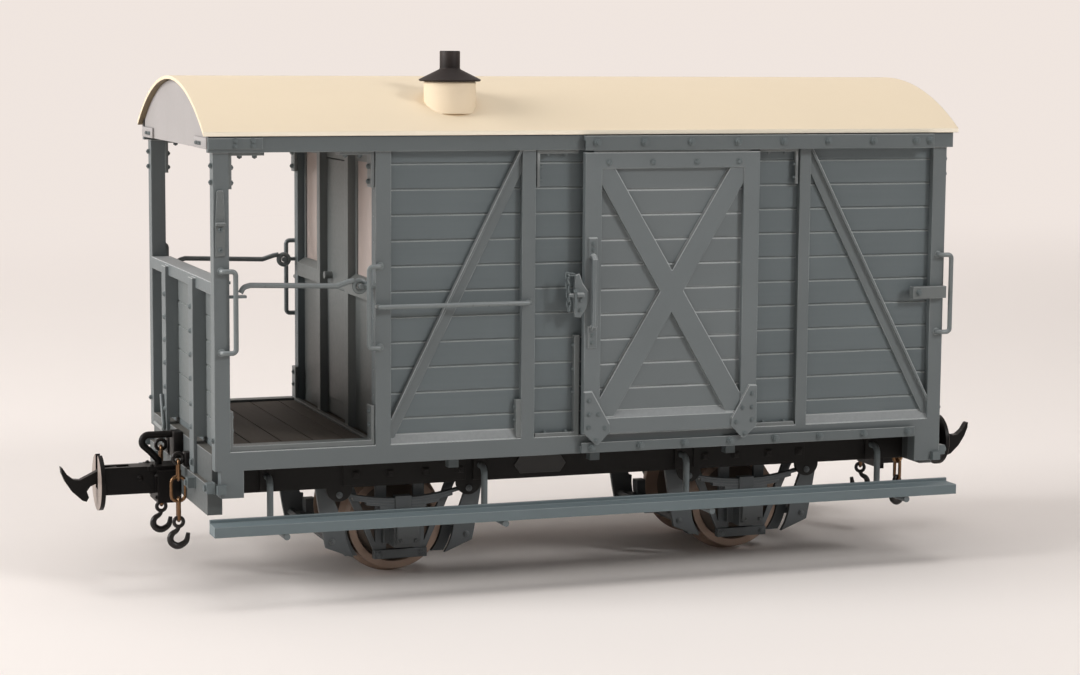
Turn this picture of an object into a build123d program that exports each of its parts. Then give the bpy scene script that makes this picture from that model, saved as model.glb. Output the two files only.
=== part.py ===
"""Four-wheel goods brake van with one open veranda, built as a large-scale model.

Millimetres at the model's own size, +Z up, X along the van with the veranda at -X,
Z = 0 at the lowest point of the wheel flanges.
"""

import os

from build123d import *

os.makedirs("parts", exist_ok=True)

# Clearances and running fits
RUN_FIT = 0.06
SEAT_GAP = 0.02
ARC_GAP = 0.12
SWING_GAP = 0.3

# Body box: faces of the posts and the sheet between them
POST_END = 112.0
SIDE_FACE = 46.0
POST_INNER = SIDE_FACE - 4.2
SHEET_FACE = SIDE_FACE - 2.0
SHEET_BACK = SHEET_FACE - 2.0
SILL_BOTTOM = 37.7
SILL_TOP = SILL_BOTTOM + 6.0
FLOOR_TOP = SILL_TOP + 0.1
FLOOR_UNDER = FLOOR_TOP - 2.0
PANEL_TOP = SILL_BOTTOM + 87.6
CANTRAIL_FACE = SIDE_FACE + 1.0
CANTRAIL_BACK = SIDE_FACE - 1.4
CANTRAIL_END = POST_END + 1.5

# Uprights of a side frame: left face and right face along X
DOORWAY_POST = (-66.3, -61.8)
PANEL_POST = (-23.1, -19.1)
DOOR_POST = (63.5, 67.0)
CORNER_LEFT = (-POST_END, -POST_END + 4.3)
CORNER_RIGHT = (POST_END - 4.4, POST_END)
DOOR_OPENING = (-1.6, 46.0)
FOOT_LEFT = (-POST_END + 1.6, -POST_END + 8.0)
FOOT_RIGHT = (POST_END - 8.4, POST_END)
FOOT_BOTTOM = SILL_BOTTOM - 7.6

# Horizontal plank joints
JOINT_FIRST = SILL_TOP + 6.4
JOINT_PITCH = 7.165
JOINT_COUNT = 11
JOINT_HALF = 0.25
JOINT_DEPTH = 0.35

# Roof arc from its half width and its rise over the eaves
ROOF_HALF_WIDTH = SIDE_FACE + 1.6
ROOF_RISE = 14.5
ROOF_SHEET = 1.0
ROOF_END = POST_END + 2.9
EAVES = PANEL_TOP + 5.6
ROOF_RADIUS = (ROOF_HALF_WIDTH ** 2 + ROOF_RISE ** 2) / (2 * ROOF_RISE)
ROOF_CENTRE = EAVES + ROOF_RISE - ROOF_RADIUS

# Main frame and the underframe's own middle along X
UNDERFRAME_MIDDLE = 1.4
SOLEBAR = (25.0, 30.0)
SOLEBAR_Z = (SILL_BOTTOM - 9.3, SILL_BOTTOM)
SOLEBAR_END = POST_END - 4.0

# Wheels
WHEELBASE_HALF = 54.4
WHEEL_LEFT = UNDERFRAME_MIDDLE - WHEELBASE_HALF
WHEEL_RIGHT = UNDERFRAME_MIDDLE + WHEELBASE_HALF
AXLE_Z = 15.8
TREAD_RADIUS = 14.2
WHEEL_BACK = 14.0
WHEEL_FACE = 20.0
JOURNAL_RADIUS = 1.5
GUARD = (23.8, 25.0)

# Springs: distances from the axle along X, heights
SPRING_EYE = 19.3
SPRING_Y = (26.4, 28.6)
LEAF = 0.8
LEAF_CURVE = 0.0073

# Sliding door, measured along X when shut
DOOR_X = (-5.0, 49.3)
DOOR_Z = (SILL_TOP - 0.3, PANEL_TOP - 0.7)
DOOR_BACK = CANTRAIL_FACE - 0.6
DOOR_FACE = DOOR_BACK + 2.2
DOOR_STILE = 5.0
DOOR_RAIL = 4.6
TRACK_X = (-5.2, 105.9)

# Couplings: distances run outwards from the headstock's face
COUPLING_Z = 28.4
HOOK_PIVOT = (POST_END + 19.0, COUPLING_Z + 2.2)
PIN_RADIUS = 0.9

# Handrail, hanger and gate rods
HANDRAIL_ROD = 0.7
HANGER_ROD = 0.95
GATE_ROD = 0.75


def block(x, y, z):
    """Solid between two faces on each axis."""
    size = (x[1] - x[0], y[1] - y[0], z[1] - z[0])
    centre = ((x[0] + x[1]) / 2, (y[0] + y[1]) / 2, (z[0] + z[1]) / 2)
    return Pos(*centre) * Box(*size)


def plate_xz(points, y0, y1):
    """Plate with its outline in X and Z, between two y faces."""
    face = make_face(Plane.XZ.offset(-y1) * Polyline(*points, close=True))
    return extrude(face, amount=y1 - y0, dir=(0, -1, 0))


def bar_x(points, x0, x1):
    """Bar along X with its section in Y and Z."""
    face = make_face(Plane.YZ.offset(x0) * Polyline(*points, close=True))
    return extrude(face, amount=x1 - x0, dir=(1, 0, 0))


def disc_y(x, z, radius, y0, y1):
    """Round solid with its axis along Y."""
    return Pos(x, (y0 + y1) / 2, z) * Rot(90, 0, 0) * Cylinder(radius, y1 - y0)


def disc_x(y, z, radius, x0, x1):
    """Round solid with its axis along X."""
    return Pos((x0 + x1) / 2, y, z) * Rot(0, 90, 0) * Cylinder(radius, x1 - x0)


def post_z(x, y, radius, z0, z1):
    """Round solid with its axis along Z."""
    return Pos(x, y, (z0 + z1) / 2) * Cylinder(radius, z1 - z0)


def bent_rod(points, radius, closed=False):
    """Rod along a polyline with mitred bends."""
    path = Polyline(*points, close=closed)
    section = Plane(origin=path @ 0, z_dir=path % 0) * RegularPolygon(radius, 6)
    return sweep(section, path=path, transition=Transition.RIGHT)


def mirrored_y(shape):
    """The same piece on the far side."""
    return mirror(shape, about=Plane.XZ)


def mirrored_x(shape):
    """The same piece at the other end."""
    return mirror(shape, about=Plane.YZ)


def fused(pieces):
    """One solid from a list of pieces that meet."""
    whole = pieces[0]
    for piece in pieces[1:]:
        whole = whole + piece
    return whole


def under_arc(radius, half_length):
    """Everything inside the roof's arc of one radius."""
    return Pos(0, 0, ROOF_CENTRE) * Rot(0, 90, 0) * Cylinder(radius, 2 * half_length)


def roof_height(y):
    """Height of the roof's upper face at a distance from the middle."""
    return ROOF_CENTRE + (ROOF_RADIUS ** 2 - y ** 2) ** 0.5


def save(name, shape):
    """Write one named piece."""
    export_step(shape, "parts/" + name + ".step")


def save_pair(name, pieces):
    """Write the near side's pieces and their mirror on the far side."""
    save(name + "_near", Compound(children=pieces))
    save(name + "_far", Compound(children=[mirrored_y(piece) for piece in pieces]))


# Solebars with a doubling plate and two spring shackle plates at each axle
solebar = block((-SOLEBAR_END, SOLEBAR_END), (-SOLEBAR[1], -SOLEBAR[0]), SOLEBAR_Z)
SHACKLE = (3.8, 1.1)
for centre in (WHEEL_LEFT, WHEEL_RIGHT):
    doubler_z = (SOLEBAR_Z[0] + 0.6, SOLEBAR_Z[1] - 2.0)
    solebar = solebar + block((centre - 18.4, centre + 18.4), (-SOLEBAR[1] - 0.5, -SOLEBAR[1]), doubler_z)
    for side in (-1, 1):
        x = centre + side * (SPRING_EYE + 0.2)
        shackle = disc_y(x, SOLEBAR_Z[0] - 0.2, SHACKLE[0], -SOLEBAR[1], -SOLEBAR[1] + SHACKLE[1])
        half_disc = block((x - 4, x + 4), (-SOLEBAR[1], -SOLEBAR[0]), (SOLEBAR_Z[0] - 6, SOLEBAR_Z[0] + 0.2))
        roller_z = (SOLEBAR_Z[0] - 1.5, SOLEBAR_Z[0] + 0.2)
        roller = block((x - 1.3, x + 1.3), (-SOLEBAR[1], -SPRING_Y[0]), roller_z)
        solebar = solebar + (shackle & half_disc) + roller
save("solebar_near", solebar)
save("solebar_far", mirrored_y(solebar))

HEADSTOCK_HALF = POST_INNER - 0.4
HEADSTOCK_Y = (-HEADSTOCK_HALF, HEADSTOCK_HALF)
END_BEAM_Z = (SILL_BOTTOM - 12.9, SILL_BOTTOM - 4.3)
save("headstock_right", block((SOLEBAR_END, POST_END), HEADSTOCK_Y, (SOLEBAR_Z[0], FLOOR_UNDER)))
save("headstock_left", block((-POST_END, -SOLEBAR_END), HEADSTOCK_Y, (END_BEAM_Z[1], FLOOR_UNDER)))
save("end_beam", block((-POST_END - 1.3, -POST_END + 2.9), HEADSTOCK_Y, END_BEAM_Z))

# Cross bearers between solebars and floor; three of them end in a lug under the sill
BEARER_HALF = 2.0
BEARERS = (-98.0, -70.0, 70.0, 98.0)
LUG_BEARERS = (-41.9, 1.3, 44.5)
BEARER_Y = POST_INNER - 0.2
bearers = []
for x in BEARERS + LUG_BEARERS:
    bearer = block((x - BEARER_HALF, x + BEARER_HALF), (-BEARER_Y, BEARER_Y), (SILL_BOTTOM, FLOOR_UNDER))
    if x in LUG_BEARERS:
        lug = block((x - 1.5, x + 1.5), (-BEARER_Y, -BEARER_Y + 3.2), (SILL_BOTTOM - 3.0, SILL_BOTTOM))
        bearer = bearer + lug + mirrored_y(lug)
    bearers.append(bearer)
save("floor_bearers", Compound(children=bearers))

FLOOR_X = (-POST_END + 3.0, POST_END - 4.0)
GROOVE_PITCH = 9.0
floor = block(FLOOR_X, (-POST_INNER, POST_INNER), (FLOOR_UNDER, FLOOR_TOP))
for number in range(1, 24):
    x = FLOOR_X[0] + number * GROOVE_PITCH
    floor = floor - block((x - 0.2, x + 0.2), (-POST_INNER, POST_INNER), (FLOOR_TOP - 0.3, FLOOR_TOP + 1))
save("floor_planks", floor)

# Side frame: sill, five uprights, feet, braces and sloped ledges
frame_pieces = [block((-POST_END, POST_END), (-SIDE_FACE, -POST_INNER), (SILL_BOTTOM, SILL_TOP - 0.7))]
for span in (CORNER_LEFT, CORNER_RIGHT):
    frame_pieces.append(block(span, (-SIDE_FACE, -POST_INNER), (SILL_BOTTOM, PANEL_TOP)))
for span in (DOORWAY_POST, PANEL_POST, DOOR_POST):
    frame_pieces.append(block(span, (-SIDE_FACE, -SHEET_FACE), (SILL_BOTTOM, PANEL_TOP)))
for span in (FOOT_LEFT, FOOT_RIGHT):
    frame_pieces.append(block(span, (-SIDE_FACE, -POST_INNER), (FOOT_BOTTOM, SILL_BOTTOM)))

# Panels with a brace: left edge, right edge, brace foot, brace head
BRACED_PANELS = (
    (DOORWAY_POST[1], PANEL_POST[0], DOORWAY_POST[1], PANEL_POST[0]),
    (DOOR_POST[1], CORNER_RIGHT[0], CORNER_RIGHT[0], DOOR_POST[1]),
)
BRACE_FOOT = SILL_TOP + 1.1
BRACE_HEAD = PANEL_TOP - 1.3
BRACE_HALF = 2.6
BRACE_LEG = 0.8
for left, right, foot, head in BRACED_PANELS:
    ledge = [(-SIDE_FACE, SILL_TOP - 1.3), (-SHEET_FACE, SILL_TOP - 1.3), (-SHEET_FACE, SILL_TOP + 2.0)]
    frame_pieces.append(bar_x(ledge, left, right))
    flat = [
        (foot, BRACE_FOOT + BRACE_HALF * 2), (foot, BRACE_FOOT - BRACE_HALF),
        (head, BRACE_HEAD - BRACE_HALF * 2), (head, BRACE_HEAD + BRACE_HALF),
    ]
    frame_pieces.append(plate_xz(flat, -SHEET_FACE - BRACE_LEG, -SHEET_FACE))
    leg = [
        (foot, BRACE_FOOT + BRACE_HALF * 2), (foot, BRACE_FOOT + BRACE_HALF * 2 - 2 * BRACE_LEG),
        (head, BRACE_HEAD + BRACE_HALF - 2 * BRACE_LEG), (head, BRACE_HEAD + BRACE_HALF),
    ]
    frame_pieces.append(plate_xz(leg, -SIDE_FACE + 0.2, -SHEET_FACE))
keep = block((-POST_END, POST_END), (-SIDE_FACE, -POST_INNER), (FOOT_BOTTOM, PANEL_TOP))
save_pair("side_frame", [fused(frame_pieces) & keep])

# Side planking: one sheet with the door opening cut and the plank joints grooved
SHEET_X = (DOORWAY_POST[0], CORNER_RIGHT[0])
sheet = block(SHEET_X, (-SHEET_FACE, -SHEET_BACK), (SILL_TOP - 0.7, PANEL_TOP))
for number in range(JOINT_COUNT):
    z = JOINT_FIRST + number * JOINT_PITCH
    joint_y = (-SHEET_FACE - 1, -SHEET_FACE + JOINT_DEPTH)
    sheet = sheet - block(SHEET_X, joint_y, (z - JOINT_HALF, z + JOINT_HALF))
sheet = sheet - block(DOOR_OPENING, (-SHEET_FACE - 1, -SHEET_BACK + 1), (SILL_TOP, PANEL_TOP + 1))
save_pair("side_planks", [sheet])

# Closed end wall with two stiffening uprights
WALL_TOP = PANEL_TOP + 0.9
END_WALL = (POST_END - 3.4, POST_END - 1.4)
STANCHION_Y = 19.3
STANCHION_HALF = 2.75
end_wall = block(END_WALL, (-POST_INNER, POST_INNER), (FLOOR_TOP, WALL_TOP))
for number in range(JOINT_COUNT):
    z = JOINT_FIRST + number * JOINT_PITCH
    joint_x = (END_WALL[1] - JOINT_DEPTH, END_WALL[1] + 1)
    end_wall = end_wall - block(joint_x, (-POST_INNER, POST_INNER), (z - JOINT_HALF, z + JOINT_HALF))
for side in (-1, 1):
    span = (side * STANCHION_Y - STANCHION_HALF, side * STANCHION_Y + STANCHION_HALF)
    end_wall = end_wall + block((END_WALL[1], POST_END + 1.0), span, (FLOOR_TOP, WALL_TOP - 0.02))
save("end_wall", end_wall)

# Veranda end: planked screen, waist rail and its two stanchions
SCREEN = (-POST_END + 2.8, -POST_END + 4.3)
WAIST = (SILL_TOP + 42.6, SILL_TOP + 46.1)
screen = block(SCREEN, (-POST_INNER, POST_INNER), (FLOOR_TOP, WAIST[0]))
for number in range(5):
    z = JOINT_FIRST + number * JOINT_PITCH
    for face in SCREEN:
        joint_x = (face - 0.3, face + 0.3)
        screen = screen - block(joint_x, (-POST_INNER, POST_INNER), (z - JOINT_HALF, z + JOINT_HALF))
save("veranda_planks", screen)

rail = block((-POST_END, -POST_END + 1.1), (-POST_INNER, POST_INNER), WAIST)
rail = rail + block((-POST_END, -POST_END + 5.6), (-POST_INNER, POST_INNER), (WAIST[1] - 0.8, WAIST[1]))
for side in (-1, 1):
    span = (side * STANCHION_Y - STANCHION_HALF, side * STANCHION_Y + STANCHION_HALF)
    rail = rail + block((-POST_END - 1.0, -POST_END), span, (END_BEAM_Z[1], WAIST[1] - 0.8))
    rail = rail + block((-POST_END, SCREEN[0]), span, (FLOOR_TOP, WAIST[0]))
save("veranda_rail", rail)

# Bulkhead: sheet, door posts, waist board with a sloped top, a window each side
BULKHEAD = (DOORWAY_POST[0] + 2.1, DOORWAY_POST[1] - 0.8)
BULKHEAD_POST = (DOORWAY_POST[0] - 0.2, BULKHEAD[1])
CABIN_DOOR_HALF = 14.2
CABIN_POST_HALF = 17.6
WINDOW_Y = (19.0, 40.0)
WINDOW_Z = (SILL_TOP + 44.9, PANEL_TOP - 3.8)
CABIN_DOOR_TOP = PANEL_TOP - 4.3
bulkhead = block(BULKHEAD, (-POST_INNER, POST_INNER), (FLOOR_TOP, WALL_TOP))
bulkhead = bulkhead - block(BULKHEAD_POST, (-CABIN_DOOR_HALF, CABIN_DOOR_HALF), (FLOOR_TOP, CABIN_DOOR_TOP))
panes = []
for side in (-1, 1):
    post = sorted((side * CABIN_DOOR_HALF, side * CABIN_POST_HALF))
    pane = sorted((side * WINDOW_Y[0], side * WINDOW_Y[1]))
    board = sorted((side * CABIN_POST_HALF, side * POST_INNER))
    profile = [
        (BULKHEAD_POST[0], WINDOW_Z[0] - 5.6), (BULKHEAD_POST[0], WINDOW_Z[0] - 1.6),
        (BULKHEAD[0], WINDOW_Z[0]), (BULKHEAD[0], WINDOW_Z[0] - 5.6),
    ]
    bulkhead = bulkhead + block(BULKHEAD_POST, post, (FLOOR_TOP, WALL_TOP))
    bulkhead = bulkhead - block(BULKHEAD_POST, pane, WINDOW_Z)
    bulkhead = bulkhead + plate_xz(profile, board[0], board[1])
    panes.append(block((BULKHEAD[0] + 0.4, BULKHEAD[1] - 0.4), pane, WINDOW_Z))
CABIN_SILL = ((BULKHEAD_POST[0] - 1.4, BULKHEAD_POST[0]), (-POST_INNER + 0.8, POST_INNER - 0.8))
bulkhead = bulkhead + block(*CABIN_SILL, (FLOOR_TOP, FLOOR_TOP + 0.7))
save("bulkhead", bulkhead)
save("bulkhead_windows", Compound(children=panes))

# Bulkhead door, hung on a knuckle inside the van, with a knob on the veranda side
LEAF_Y = (-CABIN_DOOR_HALF + 0.6, CABIN_DOOR_HALF - SWING_GAP)
KNUCKLE = (BULKHEAD[1] + 0.7, -CABIN_DOOR_HALF + 0.5, 0.6)
LEAF_Z = (FLOOR_TOP + 0.4, CABIN_DOOR_TOP - SWING_GAP)
LEAF_PANEL = ((LEAF_Y[0] + 4, LEAF_Y[1] - 4), (LEAF_Z[0] + 5, WINDOW_Z[0] - 6))
cabin_door = block((BULKHEAD[0], BULKHEAD[1] - 0.3), LEAF_Y, LEAF_Z)
cabin_door = cabin_door + block((BULKHEAD[0] - 0.6, BULKHEAD[0]), *LEAF_PANEL)
cabin_door = cabin_door + disc_x(LEAF_Y[1] - 5.0, WINDOW_Z[0] - 2.6, 1.1, BULKHEAD[0] - 2.4, BULKHEAD[0])
for z in (FLOOR_TOP + 12.0, CABIN_DOOR_TOP - 12.0):
    strap = block((BULKHEAD[1] - 0.3, KNUCKLE[0]), (KNUCKLE[1], KNUCKLE[1] + 5.0), (z - 1.5, z + 1.5))
    cabin_door = cabin_door + strap
    cabin_door = cabin_door + post_z(KNUCKLE[0], KNUCKLE[1], KNUCKLE[2], z - 2.5, z + 2.5)
save("bulkhead_door", cabin_door)

# Cantrails under the roof edge, with a patch plate at the veranda end
under_roof = under_arc(ROOF_RADIUS - ROOF_SHEET - ARC_GAP, ROOF_END)
cantrail_y = (-CANTRAIL_FACE, -CANTRAIL_BACK)
cantrail = block((-CANTRAIL_END, CANTRAIL_END), cantrail_y, (PANEL_TOP, EAVES + ROOF_RISE)) & under_roof
patch_z = (PANEL_TOP + 0.9, PANEL_TOP + 3.9)
patch = block((-CANTRAIL_END, -CANTRAIL_END + 15.0), (-CANTRAIL_FACE - 0.5, -CANTRAIL_FACE), patch_z)
save_pair("cantrail", [cantrail + patch])

# Lunettes that close the roof's ends
LUNETTE_HALF = CANTRAIL_BACK - SEAT_GAP
LUNETTE_X = (POST_END - 0.1, POST_END + 1.2)
lunette = block(LUNETTE_X, (-LUNETTE_HALF, LUNETTE_HALF), (WALL_TOP, EAVES + ROOF_RISE)) & under_roof
save("lunette_right", lunette)
save("lunette_left", mirrored_x(lunette))

# Roof sheet
roof = under_arc(ROOF_RADIUS, ROOF_END) - under_arc(ROOF_RADIUS - ROOF_SHEET, ROOF_END)
ROOF_BOX = ((-ROOF_END, ROOF_END), (-ROOF_HALF_WIDTH, ROOF_HALF_WIDTH), (PANEL_TOP, EAVES + ROOF_RISE + 1))
save("roof", roof & block(*ROOF_BOX))

# Chimney: collar on the roof's near slope, then the cowl and its pipe
CHIMNEY = (-41.0, -34.0)
COLLAR_TOP = roof_height(CHIMNEY[1]) + 6.1
collar = post_z(CHIMNEY[0], CHIMNEY[1], 7.4, PANEL_TOP, COLLAR_TOP)
save("chimney_base", collar - under_arc(ROOF_RADIUS + ARC_GAP / 2, ROOF_END))
# Cowl profile: radius, height over the collar
COWL = ((0.0, 0.0), (8.8, 0.0), (2.9, 3.5), (2.9, 8.6), (2.3, 8.6), (2.3, 4.6), (0.0, 4.6))
cowl_face = make_face(Plane.XZ * Polyline(*COWL, close=True))
save("chimney_cap", Pos(CHIMNEY[0], CHIMNEY[1], COLLAR_TOP) * revolve(cowl_face, axis=Axis.Z))

# Door tracks: hanging track against the cantrail, guide bar against the sill
TRACK_FACE = DOOR_FACE + 0.7
TRACK_TOP = PANEL_TOP + 4.1
top_track = block(TRACK_X, (-TRACK_FACE, -CANTRAIL_FACE), (TRACK_TOP - 1.4, TRACK_TOP))
top_track = top_track + block(TRACK_X, (-TRACK_FACE, -TRACK_FACE + 0.6), (PANEL_TOP - 0.1, TRACK_TOP - 1.4))
bottom_x = (TRACK_X[0], FOOT_RIGHT[0] - 1.1)
bottom_track = block(bottom_x, (-SIDE_FACE - 1.9, -SIDE_FACE), (SILL_BOTTOM + 0.3, SILL_TOP - 2.7))
groove_y = (-SIDE_FACE - 1.3, -SIDE_FACE)
bottom_track = bottom_track - block(bottom_x, groove_y, (SILL_TOP - 3.9, SILL_TOP))
save_pair("door_tracks", [top_track, bottom_track])

# Sliding door: framed, braced with an X, with runner blocks, guide plates and a hasp
DOOR_PANEL = DOOR_BACK + 0.6
door = block(DOOR_X, (-DOOR_PANEL, -DOOR_BACK), DOOR_Z)
for number in range(1, JOINT_COUNT - 1):
    z = JOINT_FIRST - 0.7 + number * JOINT_PITCH
    joint_y = (-DOOR_PANEL - 1, -DOOR_PANEL + 0.25)
    door = door - block(DOOR_X, joint_y, (z - JOINT_HALF, z + JOINT_HALF))
door = door + block((DOOR_X[0], DOOR_X[0] + DOOR_STILE), (-DOOR_FACE, -DOOR_BACK), DOOR_Z)
door = door + block((DOOR_X[1] - DOOR_STILE, DOOR_X[1]), (-DOOR_FACE, -DOOR_BACK), DOOR_Z)
door = door + block(DOOR_X, (-DOOR_FACE, -DOOR_BACK), (DOOR_Z[0], DOOR_Z[0] + DOOR_RAIL))
door = door + block(DOOR_X, (-DOOR_FACE, -DOOR_BACK), (DOOR_Z[1] - DOOR_RAIL, DOOR_Z[1]))
inner = (DOOR_X[0] + DOOR_STILE, DOOR_X[1] - DOOR_STILE)
low, high = DOOR_Z[0] + DOOR_RAIL, DOOR_Z[1] - DOOR_RAIL
for x0, x1 in (inner, inner[::-1]):
    step = 4.2 if x1 > x0 else -4.2
    strip = [(x0, low), (x0 + step, low), (x1, high - 4.4), (x1, high), (x1 - step, high), (x0, low + 5.8)]
    door = door + plate_xz(strip, -DOOR_FACE + 0.3, -DOOR_BACK)
sloped_foot = [(-DOOR_FACE, low), (-DOOR_PANEL, low), (-DOOR_PANEL, low + 2.0)]
door = door + bar_x(sloped_foot, *inner)
tongue_y = (-DOOR_FACE + 0.4, -DOOR_FACE + 1.2)
door = door + block((DOOR_X[0] + 3, DOOR_X[1] - 3), tongue_y, (DOOR_Z[1], TRACK_TOP - 1.8))

# Guide plate outline from the door's lower corner: along X, height over the door's foot
GUIDE = ((0.0, 12.5), (2.4, 12.6), (7.9, 3.0), (7.9, 0.7), (4.5, -2.9), (3.6, -2.9), (0.0, 0.6))
left_guide = plate_xz([(DOOR_X[0] + x, DOOR_Z[0] + z) for x, z in GUIDE], -DOOR_FACE - 0.6, -DOOR_FACE)
right_guide = plate_xz([(DOOR_X[1] - x, DOOR_Z[0] + z) for x, z in GUIDE], -DOOR_FACE - 0.6, -DOOR_FACE)
door = door + left_guide + right_guide
for x in (DOOR_X[0] + 4.0, DOOR_X[1] - 4.0):
    runner_y = (-SIDE_FACE - 1.7, -DOOR_BACK)
    door = door + block((x - 1.6, x + 1.6), runner_y, (SILL_TOP - 2.0, DOOR_Z[0] + 0.1))

# Grab bar and hasp on the door's leading stile
GRAB_X = DOOR_X[0] + 2.4
GRAB_Z = (DOOR_Z[0] + 31.0, DOOR_Z[0] + 51.5)
GRAB_Y = DOOR_FACE + 2.0
grab = bent_rod([
    (GRAB_X, -DOOR_FACE + 0.2, GRAB_Z[0]), (GRAB_X, -GRAB_Y + 0.8, GRAB_Z[0]),
    (GRAB_X, -GRAB_Y, GRAB_Z[0] + 0.8), (GRAB_X, -GRAB_Y, GRAB_Z[1] - 0.8),
    (GRAB_X, -GRAB_Y + 0.8, GRAB_Z[1]), (GRAB_X, -DOOR_FACE + 0.2, GRAB_Z[1]),
], 0.85)
for z in ((GRAB_Z[0] - 5.8, GRAB_Z[0] + 0.4), (GRAB_Z[1] - 0.4, GRAB_Z[1] + 5.4)):
    grab = grab + block((GRAB_X - 1.3, GRAB_X + 1.3), (-DOOR_FACE - 0.5, -DOOR_FACE), z)
# Hasp outline from the door's edge: along X, height over the door's foot
HASP = (
    (-3.1, 46.4), (-1.9, 46.8), (-0.9, 44.0), (0.9, 41.6), (1.1, 39.4), (0.2, 36.8), (-1.5, 34.2), (-3.2, 34.4),
    (-3.7, 40.0),
)
hasp = plate_xz([(DOOR_X[0] + x, DOOR_Z[0] + z) for x, z in HASP], -DOOR_FACE - 0.8, -DOOR_FACE)
staple_z = (DOOR_Z[0] + 40.2, DOOR_Z[0] + 41.2)
staple = block((DOOR_X[0] - 5.3, DOOR_X[0] - 0.6), (-DOOR_FACE - 1.7, -DOOR_FACE - 0.8), staple_z)
save_pair("door", [door + grab + hasp + staple])

# Footboards with a raised back lip
FOOTBOARD = (SIDE_FACE + 2.5, SIDE_FACE + 9.5)
FOOTBOARD_Z = (21.1, 24.0)
FOOTBOARD_END = POST_END + 1.0
FOOTBOARD_X = (-FOOTBOARD_END - 1.3, FOOTBOARD_END)
board = block(FOOTBOARD_X, (-FOOTBOARD[1], -FOOTBOARD[0]), FOOTBOARD_Z)
lip_z = (FOOTBOARD_Z[1], FOOTBOARD_Z[1] + 1.0)
lip = block(FOOTBOARD_X, (-FOOTBOARD[0] - 0.9, -FOOTBOARD[0]), lip_z)
save_pair("footboard", [board + lip])

# Footboard hangers: bracket on the solebar's face, rod out, down and under the board
HANGER_OFFSETS = (-95.4, -31.8, 31.8, 95.4)
HANGER_Y = SOLEBAR[1] + 5.0
HANGER_TOP = SILL_BOTTOM - 4.6
hangers = []
for offset in HANGER_OFFSETS:
    x = UNDERFRAME_MIDDLE + offset
    hanger = bent_rod([
        (x, -SOLEBAR[1] - 0.5, HANGER_TOP), (x, -HANGER_Y + 2.0, HANGER_TOP), (x, -HANGER_Y, HANGER_TOP - 2.0),
        (x, -HANGER_Y, FOOTBOARD_Z[0] + 1.1), (x, -HANGER_Y - 2.0, FOOTBOARD_Z[0] - HANGER_ROD),
        (x, -FOOTBOARD[1] + 0.6, FOOTBOARD_Z[0] - HANGER_ROD),
    ], HANGER_ROD)
    bracket_z = (SOLEBAR_Z[0] + 0.4, SOLEBAR_Z[1] - 1.0)
    hanger = hanger + block((x - 2.0, x + 2.0), (-SOLEBAR[1] - 1.0, -SOLEBAR[1]), bracket_z)
    under_board = block((x - 3, x + 3), (-FOOTBOARD[1] - 1, -FOOTBOARD[0] + 2), FOOTBOARD_Z)
    hangers.append(hanger - under_board)
save_pair("footboard_hangers", hangers)

# Wheelset: axle with journals and two wheels with flange, coned tread and recessed web
# Half wheelset profile: distance from the van's middle plane, radius
WHEELSET_PROFILE = (
    (0.0, 0.0), (0.0, 2.6), (WHEEL_BACK, 2.6), (WHEEL_BACK, AXLE_Z),
    (WHEEL_BACK + 1.9, TREAD_RADIUS + 0.1), (WHEEL_FACE, TREAD_RADIUS - 0.1),
    (WHEEL_FACE, TREAD_RADIUS - 2.3), (WHEEL_FACE - 2.1, TREAD_RADIUS - 2.8), (WHEEL_FACE + 1.0, 4.4),
    (WHEEL_FACE + 1.0, JOURNAL_RADIUS), (SOLEBAR[1] + 1.6, JOURNAL_RADIUS), (SOLEBAR[1] + 1.6, 0.0),
)
half_face = make_face(Plane.YZ * Polyline(*WHEELSET_PROFILE, close=True))
half_set = revolve(half_face, axis=Axis.Y)
wheelset = half_set + mirrored_y(half_set)
save("wheelset_left", Pos(WHEEL_LEFT, 0, AXLE_Z) * wheelset)
save("wheelset_right", Pos(WHEEL_RIGHT, 0, AXLE_Z) * wheelset)

# Axle guards: two legs and two raking stays of one plate, tied by a keep bar
GUARD_TOP = SOLEBAR_Z[0] + 5.0
GUARD_FOOT = 6.0
# Stay outline: distance from the axle along X, height
STAY = (
    (7.0, 6.4), (7.2, 10.0), (14.2, SOLEBAR_Z[0]), (14.2, GUARD_TOP), (17.2, GUARD_TOP), (17.2, SOLEBAR_Z[0]),
)
# Axlebox: half width, y from, y to, bottom, top
BOX_BODY = (3.8, 22.0, 32.3, 10.4, 20.6)
BOX_FLANGE = (5.6, 25.3, 27.4, 10.8, 20.2)
BOX_COVER = (3.2, 32.3, 33.5, 11.6, 18.8)
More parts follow.
